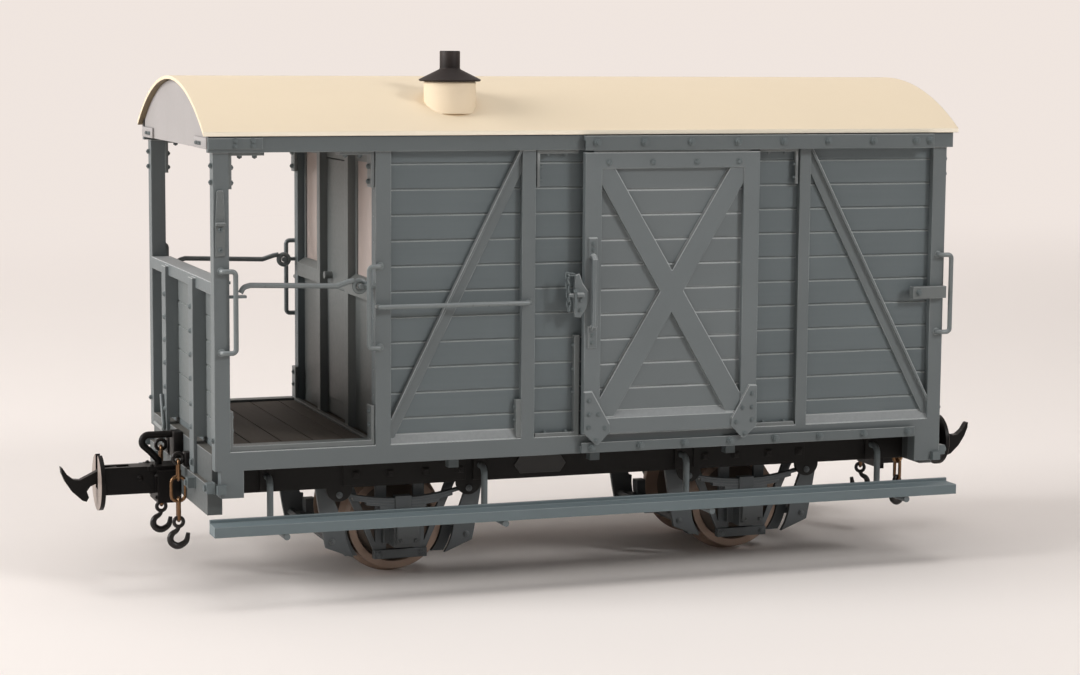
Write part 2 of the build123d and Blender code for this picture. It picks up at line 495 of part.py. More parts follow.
# Half lengths of the leaves from the top one down
LEAVES = (19.0, 15.0, 11.0, 7.0)
guards, boxes, springs = [], [], []
for centre in (WHEEL_LEFT, WHEEL_RIGHT):
    guard = block((centre - 8.0, centre + 8.0), (-GUARD[1] - 0.9, -GUARD[0]), (GUARD_FOOT, GUARD_FOOT + 2.6))
    for side in (-1, 1):
        leg = sorted((centre + side * 4.1, centre + side * 7.4))
        guard = guard + block(leg, (-GUARD[1], -GUARD[0]), (GUARD_FOOT, GUARD_TOP))
        guard = guard + plate_xz([(centre + side * x, z) for x, z in STAY], -GUARD[1], -GUARD[0])
    guards.append(guard)

    box = None
    for half, y0, y1, z0, z1 in (BOX_BODY, BOX_FLANGE, BOX_COVER):
        piece = block((centre - half, centre + half), (-y1, -y0), (z0, z1))
        box = piece if box is None else box + piece
    boxes.append(box - disc_y(centre, AXLE_Z, JOURNAL_RADIUS + RUN_FIT, -SOLEBAR[1] - 2.0, -20.0))

    spring = block((centre - 2.4, centre + 2.4), (-SPRING_Y[1] - 0.4, -SPRING_Y[0] + 0.4), (BOX_BODY[4], 24.8))
    for number, half in enumerate(LEAVES):
        top = 24.2 - number * 0.85
        rise = half * half * LEAF_CURVE
        upper = ThreePointArc((centre - half, top + rise), (centre, top), (centre + half, top + rise))
        lower = ThreePointArc(
            (centre + half, top - LEAF + rise), (centre, top - LEAF), (centre - half, top - LEAF + rise)
        )
        left_end = Line((centre - half, top - LEAF + rise), (centre - half, top + rise))
        right_end = Line((centre + half, top + rise), (centre + half, top - LEAF + rise))
        leaf_face = make_face(Plane.XZ.offset(SPRING_Y[0]) * (upper + right_end + lower + left_end))
        spring = spring + extrude(leaf_face, amount=SPRING_Y[1] - SPRING_Y[0], dir=(0, -1, 0))
    springs.append(spring)
save_pair("axle_guards", guards)
save_pair("axleboxes", boxes)
save_pair("springs", springs)

# Brake gear at each axle: hanger plates, cross beams and blocks before and behind the wheels
SHOE_INNER = TREAD_RADIUS + 0.5
SHOE_OUTER = TREAD_RADIUS + 3.6
BEAM_OFFSET = 20.4
BEAM_Z = 11.8
PLATE_INNER = 16.5
# Hanger plate outline round the wheel: distance from the axle along X, height
HANGER_LEG = (
    (12.2, 6.0), (22.2, 10.0), (23.0, 14.0), (25.4, SOLEBAR_Z[0]), (25.4, GUARD_TOP), (21.2, GUARD_TOP),
    (21.2, SOLEBAR_Z[0]), (17.4, 17.6), (8.0, 15.8),
)
for name, centre in (("left", WHEEL_LEFT), ("right", WHEEL_RIGHT)):
    gear = []
    for side in (-1, 1):
        x = centre + side * BEAM_OFFSET
        beam = Rot(90, 0, 0) * extrude(RegularPolygon(1.1, 6), amount=GUARD[1] - 0.2, both=True)
        beam = Pos(x, 0, BEAM_Z) * beam
        for half in (-1, 1):
            plate_y = sorted((half * GUARD[1], half * GUARD[0]))
            plate = plate_xz([(centre + side * a, z) for a, z in HANGER_LEG], *plate_y)
            plate = plate - disc_y(centre, AXLE_Z, PLATE_INNER, plate_y[0] - 1, plate_y[1] + 1)
            shoe_y = sorted((half * (WHEEL_FACE - 0.2), half * (WHEEL_FACE - 4.1)))
            shoe = disc_y(centre, AXLE_Z, SHOE_OUTER, *shoe_y)
            shoe = shoe - disc_y(centre, AXLE_Z, SHOE_INNER, shoe_y[0] - 1, shoe_y[1] + 1)
            reach = sorted((centre + side * 9.0, centre + side * 22.0))
            shoe = shoe & block(reach, shoe_y, (6.2, 17.0))
            arm_x = sorted((centre + side * (SHOE_OUTER - 1.6), x))
            beam = beam + plate + shoe + block(arm_x, shoe_y, (BEAM_Z - 0.9, BEAM_Z + 0.9))
        gear.append(beam)
    save("brake_gear_" + name, Compound(children=gear))

# Coupling: pocket on the headstock, shank, slotted buffer disc and the hook's pin
POCKET = (POST_END + 1.3, POST_END + 8.2)
SHANK_END = POST_END + 23.5
DISC = (SHANK_END, SHANK_END + 1.3, 8.2)
coupling = block(POCKET, (-6.0, 6.0), (COUPLING_Z - 6.1, COUPLING_Z + 3.3))
coupling = coupling + block((POCKET[0], POCKET[1] + 2.4), (-4.4, 4.4), (COUPLING_Z + 3.3, COUPLING_Z + 4.5))
coupling = coupling + block((POCKET[1], SHANK_END), (-3.2, 3.2), (COUPLING_Z - 3.5, COUPLING_Z + 4.4))
coupling = coupling + disc_x(0, COUPLING_Z, DISC[2], DISC[0], DISC[1])
slot_z = (COUPLING_Z - 1.8, COUPLING_Z + 12.0)
coupling = coupling - block((HOOK_PIVOT[0] - 3.6, DISC[1] + 1), (-1.7, 1.7), slot_z)
coupling = coupling + disc_y(HOOK_PIVOT[0], HOOK_PIVOT[1], PIN_RADIUS, -3.2, 3.2)
save("coupling_left", mirrored_x(coupling))
back_plate = block((POST_END, POCKET[0]), (-8.0, 8.0), (COUPLING_Z - 7.4, COUPLING_Z + 4.6))
save("coupling_right", coupling + back_plate)

# Hook outline from the pivot: distance out, height
HOOK = (
    (2.0, -1.7), (5.4, -2.1), (7.9, -3.2), (8.9, -4.6), (8.3, -6.4), (9.0, -7.6), (10.2, -7.2), (13.0, -4.6),
    (15.0, -1.6), (16.1, 1.0), (16.3, 2.8), (15.8, 2.6), (14.4, 0.4), (12.6, -1.0), (10.8, -1.2), (5.4, 1.4),
    (2.0, 1.8), (0.0, 2.0), (-1.6, 0.0), (0.0, -2.0),
)
hook = plate_xz([(HOOK_PIVOT[0] + x, HOOK_PIVOT[1] + z) for x, z in HOOK], -1.3, 1.3)
hook = hook - disc_y(HOOK_PIVOT[0], HOOK_PIVOT[1], PIN_RADIUS + RUN_FIT, -5, 5)
save("coupling_hook_right", hook)
save("coupling_hook_left", mirrored_x(hook))

# Bail over the pocket, fixed in a block on the headstock
# Bail path: distance out from the headstock's face, height over the coupling's middle
BAIL = ((2.0, 13.0), (9.8, 13.0), (11.7, 12.2), (11.6, 10.4), (9.4, 7.8), (6.8, 6.2), (6.8, 4.5))
bail = bent_rod([(POST_END + x, 0, COUPLING_Z + z) for x, z in BAIL], 0.9)
bail = bail + block((POST_END, POST_END + 2.9), (-3.0, 3.0), (COUPLING_Z + 6.2, COUPLING_Z + 14.1))
save("coupling_bail_right", bail)
save("coupling_bail_left", mirrored_x(bail))

# Safety chains: plate with an eye, three links and a hook, each hung in the one above
CHAIN_X = POST_END + 3.6
CHAIN_Y = 12.8
LINK_ROD = 0.55
EYE = (CHAIN_X - 0.1, 36.4, 2.0, 1.0)
# Links: top height, bottom height, half width, turned across the van
LINKS = ((35.98, 30.1, 1.12, True), (31.18, 23.9, 1.7, False), (24.98, 18.2, 1.12, True))
HOOK_EYE = (CHAIN_X, 17.86, 1.75, 0.92)
# Chain hook outline from the eye: along X, height
CHAIN_HOOK = (
    (-0.9, -1.0), (0.9, -1.0), (1.0, -2.2), (2.7, -3.6), (2.9, -5.2), (2.0, -6.9), (0.2, -7.5), (-1.7, -6.9),
    (-2.9, -5.2), (-3.1, -3.9), (-2.3, -3.5), (-1.9, -4.9), (-0.9, -6.0), (0.3, -6.2), (1.3, -5.4), (1.5, -4.4),
    (0.6, -3.4), (-0.5, -2.6),
)


def eight_sided(x, z, radius, y0, y1):
    """Eight-sided solid with its axis along Y."""
    return Pos(x, y0, z) * Rot(-90, 0, 0) * extrude(RegularPolygon(radius, 8), amount=y1 - y0)


def ring_y(place, y0, y1):
    """Flat ring: centre along X, height, outer radius, inner radius."""
    x, z, outer, inner = place
    return eight_sided(x, z, outer, y0, y1) - eight_sided(x, z, inner, y0 - 1, y1 + 1)


near = (-CHAIN_Y - 0.5, -CHAIN_Y + 0.5)
pad = block((POST_END, POST_END + 2.0), (-CHAIN_Y - 1.9, -CHAIN_Y + 1.9), (EYE[1] - 2.4, EYE[1] + 1.8))
chain = [ring_y(EYE, *near)]
for top, bottom, half, across in LINKS:
    bevel = half * 0.6
    # Link outline: across, height
    outline = (
        (-half, (top + bottom) / 2), (-half, top - bevel), (-half + bevel, top), (half - bevel, top),
        (half, top - bevel), (half, bottom + bevel), (half - bevel, bottom), (-half + bevel, bottom),
        (-half, bottom + bevel),
    )
    if across:
        corners = [(CHAIN_X, -CHAIN_Y + u, z) for u, z in outline]
    else:
        corners = [(CHAIN_X + u, -CHAIN_Y, z) for u, z in outline]
    chain.append(bent_rod(corners, LINK_ROD, closed=True))
chain_hook = plate_xz([(HOOK_EYE[0] + x, HOOK_EYE[1] + z) for x, z in CHAIN_HOOK], *near)
chain_hook = chain_hook + eight_sided(HOOK_EYE[0], HOOK_EYE[1], HOOK_EYE[2], *near)
chain.append(chain_hook - eight_sided(HOOK_EYE[0], HOOK_EYE[1], HOOK_EYE[3], near[0] - 1, near[1] + 1))
# The chains at the closed end hang a little turned on their eyes
for name, turn in (("left", 0), ("right", 21)):
    on_axis = Pos(CHAIN_X, -CHAIN_Y, 0) * Rot(0, 0, turn) * Pos(-CHAIN_X, CHAIN_Y, 0)
    hung = [on_axis * piece for piece in chain]
    hung[0] = hung[0] + pad
    pair = hung + [mirrored_y(piece) for piece in hung]
    if name == "left":
        pair = [mirrored_x(piece) for piece in pair]
    save("safety_chains_" + name, Compound(children=pair))

# Bowed grab rails on the side posts: post x, bow along X, low end, high end
GRABS = (
    (-POST_END + 2.0, 3.7, SILL_TOP + 26.9, SILL_TOP + 49.3),
    (DOORWAY_POST[0] + 1.3, -3.6, SILL_TOP + 26.9, SILL_TOP + 49.7),
    (POST_END - 2.0, 3.6, SILL_TOP + 25.8, SILL_TOP + 49.2),
)
GRAB_STAND = SIDE_FACE + 1.7
rails = []
for x, bow, low, high in GRABS:
    rails.append(bent_rod([
        (x, -SIDE_FACE, low), (x, -GRAB_STAND, low), (x + bow * 0.75, -GRAB_STAND, low),
        (x + bow, -GRAB_STAND, low + 1.0), (x + bow, -GRAB_STAND, high - 1.0),
        (x + bow * 0.75, -GRAB_STAND, high), (x, -GRAB_STAND, high), (x, -SIDE_FACE, high),
    ], HANDRAIL_ROD))
LEVEL_Z = SILL_TOP + 38.4
LEVEL_Y = SIDE_FACE + 2.6
LEVEL_X = (DOORWAY_POST[0] + 0.6, PANEL_POST[0] + 1.8)
rails.append(bent_rod([
    (LEVEL_X[0], -SIDE_FACE, LEVEL_Z), (LEVEL_X[0], -LEVEL_Y + 0.9, LEVEL_Z),
    (LEVEL_X[0] + 0.9, -LEVEL_Y, LEVEL_Z), (LEVEL_X[1] - 0.9, -LEVEL_Y, LEVEL_Z),
    (LEVEL_X[1], -LEVEL_Y + 0.9, LEVEL_Z), (LEVEL_X[1], -SIDE_FACE, LEVEL_Z),
], HANDRAIL_ROD))
save_pair("handrails", rails)

# Lamp irons on the veranda's corner posts: foot plate, lip and tapered tongue
IRON_X = -POST_END + 1.8
# Tongue outline: along X, height over the sill's top
TONGUE = (
    (-1.3, 53.4), (-1.3, 62.6), (-0.9, 71.0), (-0.6, 71.4), (0.6, 71.4), (0.9, 71.0), (1.3, 62.6), (1.3, 53.4),
)
iron = plate_xz([(IRON_X + x, SILL_TOP + z) for x, z in TONGUE], -SIDE_FACE - 0.6, -SIDE_FACE)
lip_z = (SILL_TOP + 61.8, SILL_TOP + 62.6)
iron = iron + block((IRON_X - 1.3, IRON_X + 1.3), (-SIDE_FACE - 1.7, -SIDE_FACE - 0.6), lip_z)
save("lamp_irons", Compound(children=[iron, mirrored_y(iron)]))

# L-shaped brackets at the heads of the veranda doorway, and its threshold with turned-up ends
BRACKET_Y = (-SIDE_FACE + 0.4, -POST_INNER + 0.4)
BRACKET_LEG = 10.0
BRACKET_SHEET = 0.9
brackets = []
for face, side in ((CORNER_LEFT[1], 1), (BULKHEAD_POST[0], -1)):
    under = sorted((face, face + side * BRACKET_LEG))
    upright = sorted((face, face + side * BRACKET_SHEET))
    bracket = block(under, BRACKET_Y, (PANEL_TOP - BRACKET_SHEET, PANEL_TOP))
    brackets.append(bracket + block(upright, BRACKET_Y, (PANEL_TOP - BRACKET_LEG, PANEL_TOP)))
threshold_x = (CORNER_LEFT[1], BULKHEAD_POST[0])
threshold = block(threshold_x, BRACKET_Y, (FLOOR_TOP, FLOOR_TOP + 0.7))
threshold = threshold + block(threshold_x, (BRACKET_Y[0], BRACKET_Y[0] + 0.8), (SILL_TOP - 0.7, FLOOR_TOP + 0.7))
for left in (CORNER_LEFT[1], BULKHEAD_POST[0] - BRACKET_SHEET):
    turned_up = (FLOOR_TOP, FLOOR_TOP + BRACKET_LEG + 0.4)
    threshold = threshold + block((left, left + BRACKET_SHEET), BRACKET_Y, turned_up)
brackets.append(threshold)

# Cleats on the panels: along the sill beside the door, up the door's edge, and at the panel post
CLEAT_Y = (-SIDE_FACE + 0.1, -SHEET_FACE)
CLEAT_Z = (SILL_TOP - 0.7, SILL_TOP + 0.4)
door_cleat = block((PANEL_POST[1] + 0.3, DOOR_X[0] - 0.4), CLEAT_Y, CLEAT_Z)
door_cleat = door_cleat + block((DOOR_X[0] - 1.9, DOOR_X[0] - 0.4), CLEAT_Y, (CLEAT_Z[0], SILL_TOP + 28.4))
brackets.append(door_cleat)
brackets.append(block((DOOR_X[1] + 0.9, DOOR_POST[0] - 0.5), CLEAT_Y, CLEAT_Z))
# Post cleat section: across, height over the sill's top
POST_CLEAT = ((CLEAT_Y[0], -0.4), (CLEAT_Y[0], 10.5), (CLEAT_Y[1], 10.5), (CLEAT_Y[1], 2.6))
post_cleat = [(y, SILL_TOP + z) for y, z in POST_CLEAT]
brackets.append(bar_x(post_cleat, PANEL_POST[0] - 1.5, PANEL_POST[0]))
save("corner_brackets", Compound(children=brackets + [mirrored_y(piece) for piece in brackets]))

# Bar across each veranda doorway: hooked end on a peg, ring end on an eye
BAR_Y = SHEET_FACE
BAR_Z = SILL_TOP + 44.7
BAR_PIVOT = (DOORWAY_POST[0] - 4.0, BAR_Z - 0.6)
BAR_END = (CORNER_LEFT[1] + 3.4, BAR_Z - 1.4)
eye = bent_rod([
    (DOORWAY_POST[0], -BAR_Y - 1.4, BAR_PIVOT[1]), (BAR_PIVOT[0], -BAR_Y - 1.4, BAR_PIVOT[1]),
], 0.6)
eye = eye + disc_y(BAR_PIVOT[0], BAR_PIVOT[1], GATE_ROD, -BAR_Y - 2.1, -BAR_Y + 1.2)
peg_z = (BAR_END[1] - 1.6, BAR_END[1] - 0.9)
peg = block((CORNER_LEFT[1], BAR_END[0] + 1.6), (-BAR_Y - 1.3, -BAR_Y + 1.3), peg_z)
save_pair("gate_eyes", [eye, peg])
BAR_RING = 2.4
# Bar path from the peg: along X, height over the bar's hook
BAR_PATH = ((0.0, 0.0), (0.8, 1.2), (2.4, 1.7), (BAR_PIVOT[0] - BAR_END[0] - 6.6, 0.9))
bar_points = [(BAR_END[0] + x, -BAR_Y, BAR_END[1] + z) for x, z in BAR_PATH]
bar_points.append((BAR_PIVOT[0] - 3.0, -BAR_Y, BAR_PIVOT[1] + 1.4))
bar_points.append((BAR_PIVOT[0] - 1.2, -BAR_Y, BAR_PIVOT[1] + 1.5))
bar = bent_rod(bar_points, GATE_ROD)
bar = bar + eight_sided(BAR_PIVOT[0], BAR_PIVOT[1], BAR_RING, -BAR_Y - GATE_ROD, -BAR_Y + GATE_ROD)
bar = bar - disc_y(BAR_PIVOT[0], BAR_PIVOT[1], GATE_ROD + RUN_FIT, -BAR_Y - 2, -BAR_Y + 2)
save_pair("gate_bar", [bar])

# Stops that end the doors' run, on the right corner posts
stop_x = (CORNER_RIGHT[0] - 6.9, CORNER_RIGHT[1] - 0.2)
stop = block(stop_x, (-SIDE_FACE - 2.4, -SIDE_FACE), (SILL_TOP + 36.2, SILL_TOP + 39.8))
save("door_stops", Compound(children=[stop, mirrored_y(stop)]))

# Blank six-sided plate on each solebar: along X, height under the sill
PLATE = ((-19.6, -5.3), (-17.8, -2.7), (-5.4, -2.7), (-3.6, -5.3), (-5.4, -7.8), (-17.8, -7.8))
tag = plate_xz([(x, SILL_BOTTOM + z) for x, z in PLATE], -SOLEBAR[1] - 0.5, -SOLEBAR[1])
save("solebar_plates", Compound(children=[tag, mirrored_y(tag)]))
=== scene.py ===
import bpy, bmesh, math
from mathutils import Vector, Matrix


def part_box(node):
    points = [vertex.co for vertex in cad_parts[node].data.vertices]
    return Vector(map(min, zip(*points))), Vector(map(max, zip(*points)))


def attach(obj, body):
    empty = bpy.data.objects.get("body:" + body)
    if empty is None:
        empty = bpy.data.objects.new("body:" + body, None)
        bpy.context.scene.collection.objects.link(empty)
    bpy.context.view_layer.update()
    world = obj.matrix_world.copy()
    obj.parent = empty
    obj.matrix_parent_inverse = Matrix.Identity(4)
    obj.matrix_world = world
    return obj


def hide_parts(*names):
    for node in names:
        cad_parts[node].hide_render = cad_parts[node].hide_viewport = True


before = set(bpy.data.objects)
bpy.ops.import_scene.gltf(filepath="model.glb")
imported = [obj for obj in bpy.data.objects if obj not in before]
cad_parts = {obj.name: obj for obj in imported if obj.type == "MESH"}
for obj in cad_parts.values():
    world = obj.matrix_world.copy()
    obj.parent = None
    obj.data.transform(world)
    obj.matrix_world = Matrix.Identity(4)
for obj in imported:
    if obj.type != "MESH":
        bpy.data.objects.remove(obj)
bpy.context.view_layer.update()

# Underframe: two solebars and the cross bearers, steel bar in matt black, dusty on top.
# The lugs of the bearers have the body's slate grey; the headstocks and the end beam a darker grey that is
# painted shade.
# All are plain bar with square edges, joined face to face under the floor.
MM = 0.001
BEARER_BLACK = (0.125, 0.12, 0.115)
FRAME_GREY = (0.366, 0.396, 0.403)
# FRAME_EDGE: the colour of bare worn edges and of the painted highlight along upturned arrises.
FRAME_EDGE = (0.77, 0.785, 0.785)
BROWN_DUST = (0.47, 0.42, 0.36)
LUG_TOP = 0.03769


def linear(colour):
    return tuple(c / 12.92 if c < 0.04045 else ((c + 0.055) / 1.055) ** 2.4 for c in colour) + (1.0,)


def new_group(name, kind, given, wanted):
    """Given: each input's name, kind and starting value. Wanted: each output's name and kind."""
    group = bpy.data.node_groups.new(name, kind)
    for label, sort, value in given:
        socket = group.interface.new_socket(name=label, in_out="INPUT", socket_type="NodeSocket" + sort)
        if value is not None:
            socket.default_value = value
    for label, sort in wanted:
        group.interface.new_socket(name=label, in_out="OUTPUT", socket_type="NodeSocket" + sort)
    return group, group.nodes.new("NodeGroupInput").outputs, group.nodes.new("NodeGroupOutput").inputs


def feed(tree, socket, value):
    """Links the socket to another one, or gives it a plain value."""
    if isinstance(value, bpy.types.NodeSocket):
        tree.links.new(value, socket)
    elif value is not None:
        socket.default_value = value


def reckon(tree, kind, a, b=None, clamp=False):
    node = tree.nodes.new("ShaderNodeMath")
    node.operation, node.use_clamp = kind, clamp
    feed(tree, node.inputs[0], a)
    feed(tree, node.inputs[1], b)
    return node.outputs[0]


def reckon_vector(tree, kind, a, b=None):
    node = tree.nodes.new("ShaderNodeVectorMath")
    node.operation = kind
    feed(tree, node.inputs[0], a)
    feed(tree, node.inputs[1], b)
    return node.outputs["Value" if kind in ("DOT_PRODUCT", "LENGTH") else "Vector"]


def component(tree, vector, axis):
    split = tree.nodes.new("ShaderNodeSeparateXYZ")
    tree.links.new(vector, split.inputs[0])
    return split.outputs[axis]


def blend(tree, factor, a, b):
    node = tree.nodes.new("ShaderNodeMix")
    node.data_type = "RGBA"
    for name, value in (("Factor", factor), ("A", a), ("B", b)):
        feed(tree, node.inputs[name], value)
    return node.outputs["Result"]


def object_place(tree):
    return tree.nodes.new("ShaderNodeTexCoord").outputs["Object"]


def cloud(tree, vector, scale, detail=None):
    node = tree.nodes.new("ShaderNodeTexNoise")
    for name, value in (("Vector", vector), ("Scale", scale), ("Detail", detail)):
        feed(tree, node.inputs[name], value)
    return node.outputs["Fac"]


def weathered_group():
    """Paint with bare wear on its edges, dust on what faces up and a painted highlight along each upturned
    arris.
    """
    edge_gain, rub_floor, rub_gain = 7.0, 0.36, 3.4
    dust_slope, dust_gain, dust_all_over = 0.15, 1.5, 0.08
    grit_share, grit_least, highlight_gain = 0.4, 0.65, 3.5
    dust_roughness, grit_roughness, grit_scale, grit_depth = 0.3, 0.16, 14.0, 0.0001
    group, given, out = new_group("weathered_coat", "ShaderNodeTree", (
        ("Coat", "Color", (0.5, 0.5, 0.5, 1)), ("Wear And Highlight", "Color", (0.7, 0.7, 0.7, 1)),
        ("Dust", "Color", (0.5, 0.45, 0.4, 1)), ("Wear", "Float", 0.5), ("Dusting", "Float", 0.2),
        ("Mottle", "Float", 0.08), ("Patch Scale", "Float", 60.0), ("Gloss Base", "Float", 0.55),
        ("Edge Width", "Float", 0.0003), ("Relief", "Float", 0.15), ("Painted Highlight", "Float", 0.3),
    ), (("Color", "Color"), ("Roughness", "Float"), ("Normal", "Vector")))

    def times(a, b, clamp=False):
        return reckon(group, "MULTIPLY", a, b, clamp)

    def plus(a, b, clamp=False):
        return reckon(group, "ADD", a, b, clamp)

    def less(a, b):
        return reckon(group, "SUBTRACT", a, b)

    place = object_place(group)
    patches = cloud(group, place, given["Patch Scale"], 3.0)
    grit = cloud(group, place, times(given["Patch Scale"], grit_scale), 2.0)
    bevel, surface = group.nodes.new("ShaderNodeBevel"), group.nodes.new("ShaderNodeNewGeometry")
    bevel.samples = 6
    feed(group, bevel.inputs["Radius"], given["Edge Width"])
    eased, flat = bevel.outputs[0], surface.outputs["True Normal"]
    edge = times(less(1.0, reckon_vector(group, "DOT_PRODUCT", eased, flat)), edge_gain, True)
    rub = times(less(patches, rub_floor), rub_gain, True)
    pale_edge = times(times(edge, rub), given["Wear"], True)
    upward = times(less(component(group, surface.outputs["Normal"], "Z"), dust_slope), dust_gain, True)
    settled = times(plus(upward, dust_all_over), given["Dusting"], True)
    dusted = times(settled, plus(times(grit, grit_share), grit_least), True)
    # Painted highlight: where the eased normal tilts up from the true one, the edge takes the worn colour as
    # if lit from above.
    risen = less(component(group, eased, "Z"), component(group, flat, "Z"))
    painted_highlight = times(times(risen, highlight_gain, True), given["Painted Highlight"])
    tone = group.nodes.new("ShaderNodeHueSaturation")
    shade = times(less(patches, 0.5), given["Mottle"])
    feed(group, tone.inputs["Value"], plus(times(shade, 2.0), 1.0))
    feed(group, tone.inputs["Color"], given["Coat"])
    colour = blend(group, reckon(group, "MAXIMUM", pale_edge, painted_highlight), tone.outputs[0], given["Wear And Highlight"])
    feed(group, out["Color"], blend(group, dusted, colour, given["Dust"]))
    rough = plus(given["Gloss Base"], times(dusted, dust_roughness))
    feed(group, out["Roughness"], plus(rough, times(less(grit, 0.5), grit_roughness), True))
    bump = group.nodes.new("ShaderNodeBump")
    for name, value in (("Distance", grit_depth), ("Strength", given["Relief"]), ("Height", grit),
                        ("Normal", eased)):
        feed(group, bump.inputs[name], value)
    feed(group, out["Normal"], bump.outputs[0])
    return group


COAT_GROUP = weathered_group()


def new_material(name):
    """A material, its tree and the inputs of its Principled shader."""
    material = bpy.data.materials.new(name)
    material.use_nodes = True
    return material, material.node_tree, material.node_tree.nodes["Principled BSDF"].inputs


# Each coat also paints a highlight in its worn colour along every upturned arris, as strong as its arris
# setting.
def coated(name, coat, pale_edge, wear=0.5, dusting=0.15, gloss=0.55, mottle=0.1, patch=60.0, edge=0.0003,
           relief=0.15, dust=BROWN_DUST, metallic=0.0, painted_highlight=0.3, shine=0.5):
    material, tree, shader = new_material(name)
    group = tree.nodes.new("ShaderNodeGroup")
    group.node_tree = COAT_GROUP
    for socket, value in (
        ("Coat", linear(coat)), ("Wear And Highlight", linear(pale_edge)), ("Dust", linear(dust)), ("Wear", wear),
        ("Dusting", dusting), ("Mottle", mottle), ("Patch Scale", patch), ("Gloss Base", gloss),
        ("Edge Width", edge), ("Relief", relief), ("Painted Highlight", painted_highlight),
    ):
        group.inputs[socket].default_value = value
    shader["Metallic"].default_value = metallic
    shader["Specular IOR Level"].default_value = shine
    for result, socket in (("Color", "Base Color"), ("Roughness", "Roughness"), ("Normal", "Normal")):
        tree.links.new(group.outputs[result], shader[socket])
    return material


def coat_input(material):
    """The material's tree, and the input of its weathered coat that takes the colour."""
    tree = material.node_tree
    return tree, next(n for n in tree.nodes if n.type == "GROUP").inputs["Coat"]


def dress(material, *names):
    for name in names:
        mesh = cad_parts[name].data
        mesh.materials.clear()
        mesh.materials.append(material)
        for face in mesh.polygons:
            face.material_index = 0


def zoned(material, axis, limit, below, above=None):
    """Coat colour that changes at one place along an axis, in metres; above it may keep its own pattern."""
    tree, coat = coat_input(material)
    upper = linear(above) if above else coat.links[0].from_socket
    over = reckon(tree, "GREATER_THAN", component(tree, object_place(tree), axis), limit)
    feed(tree, coat, blend(tree, over, linear(below), upper))


solebar_paint = coated("solebar_paint", (0.09, 0.085, 0.08), (0.32, 0.31, 0.30), wear=0.35, dusting=0.12,
                       gloss=0.6, shine=0.3)
dress(solebar_paint, "solebar_near", "solebar_far")
bearer_paint = coated("bearer_paint", BEARER_BLACK, (0.40, 0.39, 0.37), wear=0.35, dusting=0.12, gloss=0.6,
                      shine=0.3)
zoned(bearer_paint, "Z", LUG_TOP, FRAME_GREY, BEARER_BLACK)
dress(bearer_paint, "floor_bearers")
# Painted shade: the end beam and headstocks are a darker grey than the body's, for the shadow they stand in.
beam_paint = coated("beam_paint", (0.32, 0.34, 0.343), FRAME_EDGE, wear=0.5, dusting=0.4, gloss=0.5,
                    painted_highlight=0.5)
dress(beam_paint, "end_beam", "headstock_left", "headstock_right")

# Floor: planks laid across the van on the bearers, painted once and worn bare on the veranda.
# Dark grey-brown wood, grain along each plank, with the frame's grey on its outer end.
FLOOR_BROWN = (0.32, 0.287, 0.257)
FLOOR_PAINTED_END = -0.1089


def grain_group():
    group, given, out = new_group("plank_grain", "ShaderNodeTree", (
        ("Color", "Color", (0.5, 0.5, 0.5, 1)), ("Dark", "Color", (0.3, 0.3, 0.3, 1)),
        ("Stretch", "Vector", (1, 1, 1)), ("Amount", "Float", 0.3),
    ), (("Color", "Color"),))
    drawn_out = reckon_vector(group, "MULTIPLY", object_place(group), given["Stretch"])
    strength = reckon(group, "MULTIPLY", cloud(group, drawn_out, 1.0, 4.0), given["Amount"], True)
    feed(group, out["Color"], blend(group, strength, given["Color"], given["Dark"]))
    return group


GRAIN_GROUP = grain_group()


def grained(material, colour, dark, stretch, amount):
    tree, coat = coat_input(material)
    grain = tree.nodes.new("ShaderNodeGroup")
    grain.node_tree = GRAIN_GROUP
    for socket, value in (("Color", linear(colour)), ("Dark", linear(dark)), ("Stretch", stretch),
                          ("Amount", amount)):
        grain.inputs[socket].default_value = value
    tree.links.new(grain.outputs[0], coat)


floor_wood = coated("veranda_floor", FLOOR_BROWN, (0.46, 0.43, 0.39), wear=0.5, dusting=0.1, gloss=0.75)
grained(floor_wood, FLOOR_BROWN, (0.24, 0.22, 0.20), (900, 60, 900), 0.8)
zoned(floor_wood, "X", FLOOR_PAINTED_END, FRAME_GREY)
dress(floor_wood, "floor_planks")

# Side frames and cantrails: angle and flat bar of painted metal, with a patch plate at the veranda end.
# Slate grey, with a painted highlight on upturned arrises, pale dust and painted top light on what faces up,
# and a painted shadow under the roof's edge.
# The bars are held by nuts and bolts through the posts' ends and feet.
# Pale dust on what faces up, which also paints the light falling from above on ledges and tops.
PALE_DUST_AND_TOP_LIGHT = (0.74, 0.745, 0.745)
# Painted shadow under the roof's edge: its colour, and the height where it starts on the cantrail.
EAVES_SHADOW = (0.10, 0.095, 0.09)
EAVES_SHADOW_FOOT = 0.12945
# Faces that the bolts stand on: end of the corner posts, their side, the cantrail's side
POST_END, POST_SIDE, CANTRAIL_SIDE = 112.0, -46.0, -47.5
# Kinds of fastener: head sides, radius, top radius, height; washer sides, radius, height; stud radius, height
LITTLE_BOLT = (6, 0.6, 0.55, 0.45, 12, 0.75, 0.12, 0.3, 0.6)
SMALL_NUT = (6, 0.72, 0.68, 0.72, 12, 0.82, 0.12, 0.32, 0.95)
FOOT_NUT = (4, 1.9, 1.8, 1.3, 4, 1.9, 0.1, 0.3, 0.4)
BEAM_NUT = (4, 2.1, 2.0, 2.3, 4, 2.3, 0.3, 0.9, 3.0)
